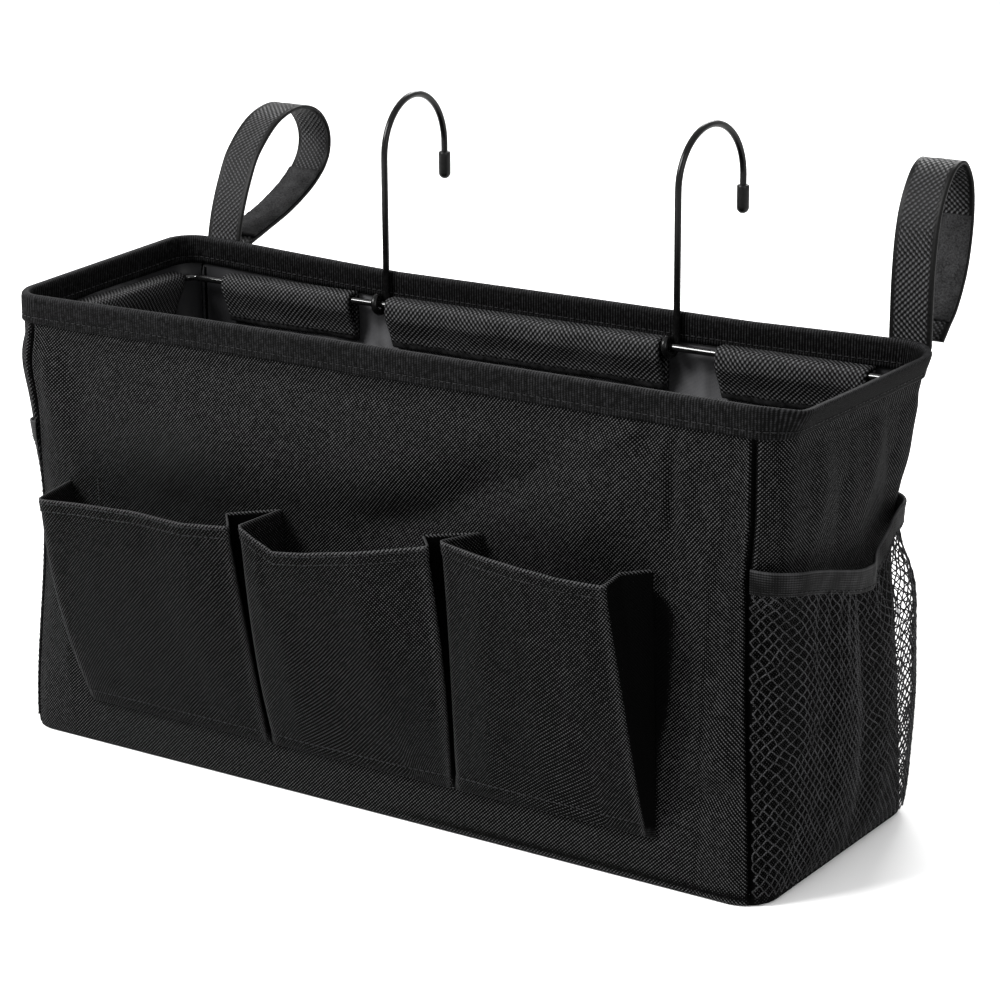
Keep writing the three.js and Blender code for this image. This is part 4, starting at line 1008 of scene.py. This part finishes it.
def band(side, mirror):
    """The elastic: a flat tube of tape round the net's edge, 10.5 mm high, with ribs along its length. The
    stitches along its lower edge are returned."""
    deep, high = band_section.T
    share = np.linspace(0, 1, 150)[:, None]
    height = band_top(share, mirror) - band_height + high * mm
    ribs = 0.06 * np.cos(2 * np.pi * high / 1.05) * (deep > 1.2)
    tucks = 0.12 * np.sin(2 * np.pi * 62 * share) * (deep > 1.0)
    flattened = 0.4 + 0.6 * swing(np.minimum(share, 1 - share), 0, 0.06 if mirror > 0 else 0.25)
    points = end_place(share, height, net_out(share, 1.0, mirror) + (deep + ribs + tucks) * flattened * mm, mirror)
    threads = np.stack(np.meshgrid(share[:, 0] * 0.135, np.append(high, high[0]) * mm, indexing="ij"), axis=-1)
    shape = grid(points, threads, wrap_columns=True)
    # Painted highlight along the elastic's top fold.
    made = piece(
        f"band_{side}", flipped(shape) if mirror > 0 else shape, elastic, "elastic_tape", f"net_band_{side}",
        marks={"painted_light_and_tone": np.broadcast_to(0.9 * bell(high, 10.5, 0.8), height.shape)},
    )
    seam_share = np.linspace(0.01, 0.99, 200)
    seam_height = band_top(seam_share, mirror) - band_height + 1.6 * mm
    line = end_place(seam_share, seam_height, net_out(seam_share, 1.0, mirror) + 1.75 * mm, mirror)
    return stitches(line, np.array([float(mirror), 0.0, 0.0]), pitch=2.9 * mm)


net_bands = []
for side, mirror in (("right", 1), ("left", -1)):
    net(side, mirror)
    net_bands.append(band(side, mirror))
piece("band_thread", gather(net_bands), seam_thread, "elastic_tape")

# Hooks. Each is one length of the same painted wire: a closed eye round the ring, a straight shank and a
# bend over the rail, with a rubber cap pushed on its end.
eye_radius, eye_pitch = 3.55 * mm, 3.4 * mm
hook_bend, hook_rise, hook_tip = 25 * mm, 90 * mm, 12 * mm
cap_radius, cap_length, cap_overlap = 2.75 * mm, 12.5 * mm, 7.7 * mm
# [distance from the open end, radius] of the cap: its lip, its straight side and its round end
cap_lip = np.array([(0, 2.1), (0.105, 2.35), (0.2275, 2.5), (0.35, 2.6), (1.4, 2.75)]) * mm
cap_side = np.column_stack([np.linspace(2, 9.6, 10) * mm, np.full(10, cap_radius)])
dome = np.linspace(0, np.pi / 2, 12)[1:]
cap_dome = np.column_stack([
    cap_length - cap_radius + cap_radius * np.sin(dome), np.maximum(cap_radius * np.cos(dome), 0.05 * mm),
])
cap_depth, cap_wide = np.concatenate([cap_lip, cap_side, cap_dome]).T
cap_rubber = speckled(
    "cap_rubber", 1.2 * mm, 5.0, (0.001, 0.001, 0.001), (0.005, 0.005, 0.005), 0.1, 0.05 * mm,
    Roughness=0.32, Specular_IOR_Level=0.16,
)


def hook(side, place_x, splay):
    """Eye: a turn of a helix whose axis is the ring. Shank: a straight line. Bend: a half circle in a plane
    turned by the splay. Tip: a short straight end."""
    turn = np.linspace(0, 2 * np.pi, 48)
    eye = np.stack([eye_pitch * (turn / (2 * np.pi) - 1), eye_radius * np.cos(turn), eye_radius * np.sin(turn)], 1)
    centre = hook_rise - hook_bend
    shank_height = np.linspace(0, centre, 30)[1:]
    shank = np.stack([0 * shank_height, 0 * shank_height + eye_radius, shank_height], 1)
    over = np.linspace(np.pi, 0, 64)[1:]
    back = hook_bend * (1 + np.cos(over))
    bend = np.stack([back * np.sin(splay), eye_radius + back * np.cos(splay), centre + hook_bend * np.sin(over)], 1)
    tip = bend[-1] - np.linspace(0, hook_tip, 8)[1:, None] * upright
    path = np.concatenate([eye, shank, bend, tip])
    for _ in range(3):
        path[1:-1] = (path[:-2] + 2 * path[1:-1] + path[2:]) / 4
    path += [place_x, mouth_depth / 2 - ring_inset, ring_height]
    across = np.array([1.0, 0.0, 0.0])
    wide = np.full(len(path), wire_radius)
    wide[[0, 1, -2, -1]] *= [0.7, 0.95, 0.95, 0.7]
    cap_path = path[-1] + (cap_overlap - cap_depth)[:, None] * upright
    body = f"{side}_hook"
    piece(
        f"hook_wire_{side}", tube(path[None], across, wide), black_paint, "black_wire", f"hook_{side}", body=body,
    )
    piece(
        f"hook_tip_{side}", tube(cap_path[None], across, cap_wide, sides=24), cap_rubber, "cap_rubber",
        f"hook_cap_{side}", body=body,
    )


hook("left", -73.8 * mm, np.radians(-3))
hook("right", 76.2 * mm, np.radians(3))

# Webbing loops. Hook-and-loop tape, sewn to the back of the rim by one end. It goes up, over and back
# down, where its pile side, a separate tab on the inside, takes hold. It bends where it leaves the seam.
strap_width, strap_web, selvedge = 19 * mm, 1.6 * mm, 2.2 * mm
tab_width, tab_web, tab_gap = 18 * mm, 1.2 * mm, 0.2 * mm
tab_shares = 0.66, 0.95  # where along the loop's line the tab begins and ends
strap_points, hook_pitch, pile_size = 150, 2.5 * mm, 0.7 * mm
strap_pivot_y, strap_pivot_z = 69.2 * mm, 195.5 * mm
strap_tuck, tail_gap = 2.4 * mm, 1.9 * mm
strap_feet = {"left": 188.0 * mm, "right": 192.5 * mm}
# [place across, reach back, rise, marks of the line as shares of reach and rise, where the line ends]
strap_lines = {
    "left": (-174.5 * mm, 71 * mm, 60.5 * mm, [
        (0, 0), (0.005, 0.1), (0.05, 0.3), (0.13, 0.52), (0.24, 0.73), (0.45, 0.93), (0.69, 1),
        (0.885, 0.93), (0.99, 0.76), (0.97, 0.56), (0.82, 0.38), (0.56, 0.22), (0.29, 0.11), (0.11, 0.04),
    ], (1.9 * mm, 0.0)),
    "right": (179 * mm, 35 * mm, 71 * mm, [
        (0, 0), (0, 0.11), (0.01, 0.36), (0.07, 0.62), (0.2, 0.81), (0.45, 0.965), (0.73, 1),
        (0.94, 0.89), (1, 0.72), (0.97, 0.53), (0.86, 0.34), (0.66, 0.17), (0.45, 0.07),
    ], (11.0 * mm, 0.2 * mm)),
}
hook_tape, tree = shader("hook_tape", Roughness=0.5, Specular_IOR_Level=0.12)
plain = mark(tree, "smooth")
hook_spots = maths(tree, "POWER", added(tree, 0.5, (lattice(tree, hook_pitch, 0.62, 0.38), 0.5)), 1.6)
hook_pattern = added(
    tree, 0.0, (plain, 0.18), (patches(tree, 3 * mm), 0.25), (hook_spots, maths(tree, "SUBTRACT", 1.0, plain)),
)
dress(
    hook_tape, hook_pattern, (0.0003, 0.0003, 0.0003), (0.052, 0.052, 0.054), between=(0.36, 1.0), bump=0.9,
    depth=0.6 * mm,
)
pile_tape, tree = shader("pile_tape", Roughness=0.9, Specular_IOR_Level=0.05)
pile_pattern = added(tree, 0.0, (patches(tree, 6 * mm), 0.3), (patches(tree, pile_size, 5.0), 0.7))
dress(
    pile_tape, pile_pattern, (0.002, 0.002, 0.002), (0.04, 0.04, 0.041), between=(0.3, 0.8), bump=0.7,
    depth=0.4 * mm,
)


def spline(marks, count):
    """A smooth line through marks, evenly spaced: each stretch is the cubic whose slope at a mark is half
    the step between its two neighbours."""
    p = np.vstack([marks[:1], marks, marks[-1:]])
    t = np.linspace(0, 1, 24, endpoint=False)[None, :, None]
    a, b, c, d = (p[k:len(p) - 3 + k, None] for k in range(4))
    v, w = (c - a) / 2, (d - b) / 2
    line = ((2 * b - 2 * c + v + w) * t**3 + (3 * c - 3 * b - 2 * v - w) * t**2 + v * t + b).reshape(-1, 2)
    line = np.vstack([line, marks[-1:]])
    way = run(line)
    return walk(line, way, np.linspace(0, way[-1], count))


def ribbon(line, place_x, width, near, far, uneven, one_face=False):
    """A tape along a line in the plane of back and up. Its section is a flat rounded bar between near and
    far, measured to the right of the line. uneven is the height of its bumps, their step from point to
    point, their length in millimetres and a seed; with one_face only the far face has them."""
    ahead = unit(np.gradient(line, axis=0))
    square = np.stack([ahead[:, 1], -ahead[:, 0]], axis=1)
    half, quarter = width / 2, (far - near) / 4
    side = np.linspace(-1, 1, 25) * (half - 0.3 * mm)
    flat = np.concatenate([side, [half, half], side[::-1], [-half, -half]])
    deep = np.repeat([near, near + quarter, far - quarter, far, far - quarter, near + quarter], [25, 1, 1, 25, 1, 1])
    bump, step, length, seed = uneven
    bumps = bump * ripple(np.arange(len(line))[:, None] * step, flat / mm, length, seed)
    off = deep + bumps * (deep > (near + far) / 2 if one_face else 1)
    in_plane = line[:, None] + square[:, None] * off[..., None]
    points = np.concatenate([np.broadcast_to(place_x + flat, off.shape)[..., None], in_plane], axis=2)
    way = run(line)
    threads = np.stack(np.meshgrid(way, np.append(flat, flat[0]), indexing="ij"), axis=-1)
    vertices, faces, places = grid(points, threads, wrap_columns=True)
    numbers = np.arange(off.size).reshape(off.shape)
    ends = np.concatenate([lid(numbers[0], False), lid(numbers[-1], True)])
    shape = vertices, np.concatenate([faces, ends]), np.concatenate([places, np.zeros((len(ends), 4, 2))])
    return shape, flat, way


def strap(side):
    """A loop with its foot, which lies on the binding's outer face, and the tab sewn inside it."""
    place_x, reach, rise, shares, end = strap_lines[side]
    marks = np.vstack([np.array(shares) * [reach, rise], end])
    line = spline(marks, strap_points) + [strap_pivot_y, strap_pivot_z]
    foot = np.linspace(strap_feet[side], strap_pivot_z, 6)[:-1]
    whole = np.vstack([np.column_stack([0 * foot + strap_pivot_y, foot]), line])
    whole[:6, 0] -= np.linspace(strap_tuck, 0, 6)
    if side == "left":  # its tail is sewn down with its foot, while the right one's end is free
        whole = np.vstack([whole, np.column_stack([0 * foot + strap_pivot_y + tail_gap, foot[::-1]])])
        whole[-6:, 0] -= np.linspace(0, strap_tuck, 6)
    shape, flat, way = ribbon(whole, place_x, strap_width, -strap_web / 2, strap_web / 2, (0.12 * mm, 1 / 3, 9, 50))
    plain_from = strap_width / 2 - selvedge
    smooth = np.broadcast_to(ramp(np.abs(flat), plain_from, plain_from + 0.4 * mm), (len(whole), len(flat)))
    chevron = ramp(np.sin(2 * np.pi * way / (36 * mm)), 0.375, 0.625)[:, None]
    made = piece(
        f"loop_{side}", shape, hook_tape, "webbing", f"strap_{side}", f"strap_tail_{side}",
        marks={"smooth": smooth, "chevron": np.broadcast_to(chevron, smooth.shape)}, body=None,
    )
    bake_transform(made)
    first, last = (int(share * strap_points) for share in tab_shares)
    near = strap_web / 2 + tab_gap
    shape, _, tab_way = ribbon(
        line[first:last], place_x, tab_width, near, near + tab_web, (0.18 * mm, 1.2, 2.2, 61), one_face=True,
    )
    tab = piece(f"loop_tab_{side}", shape, pile_tape, "webbing", f"strap_tab_{side}", body=f"{side}_loop")


strap("left")
strap("right")
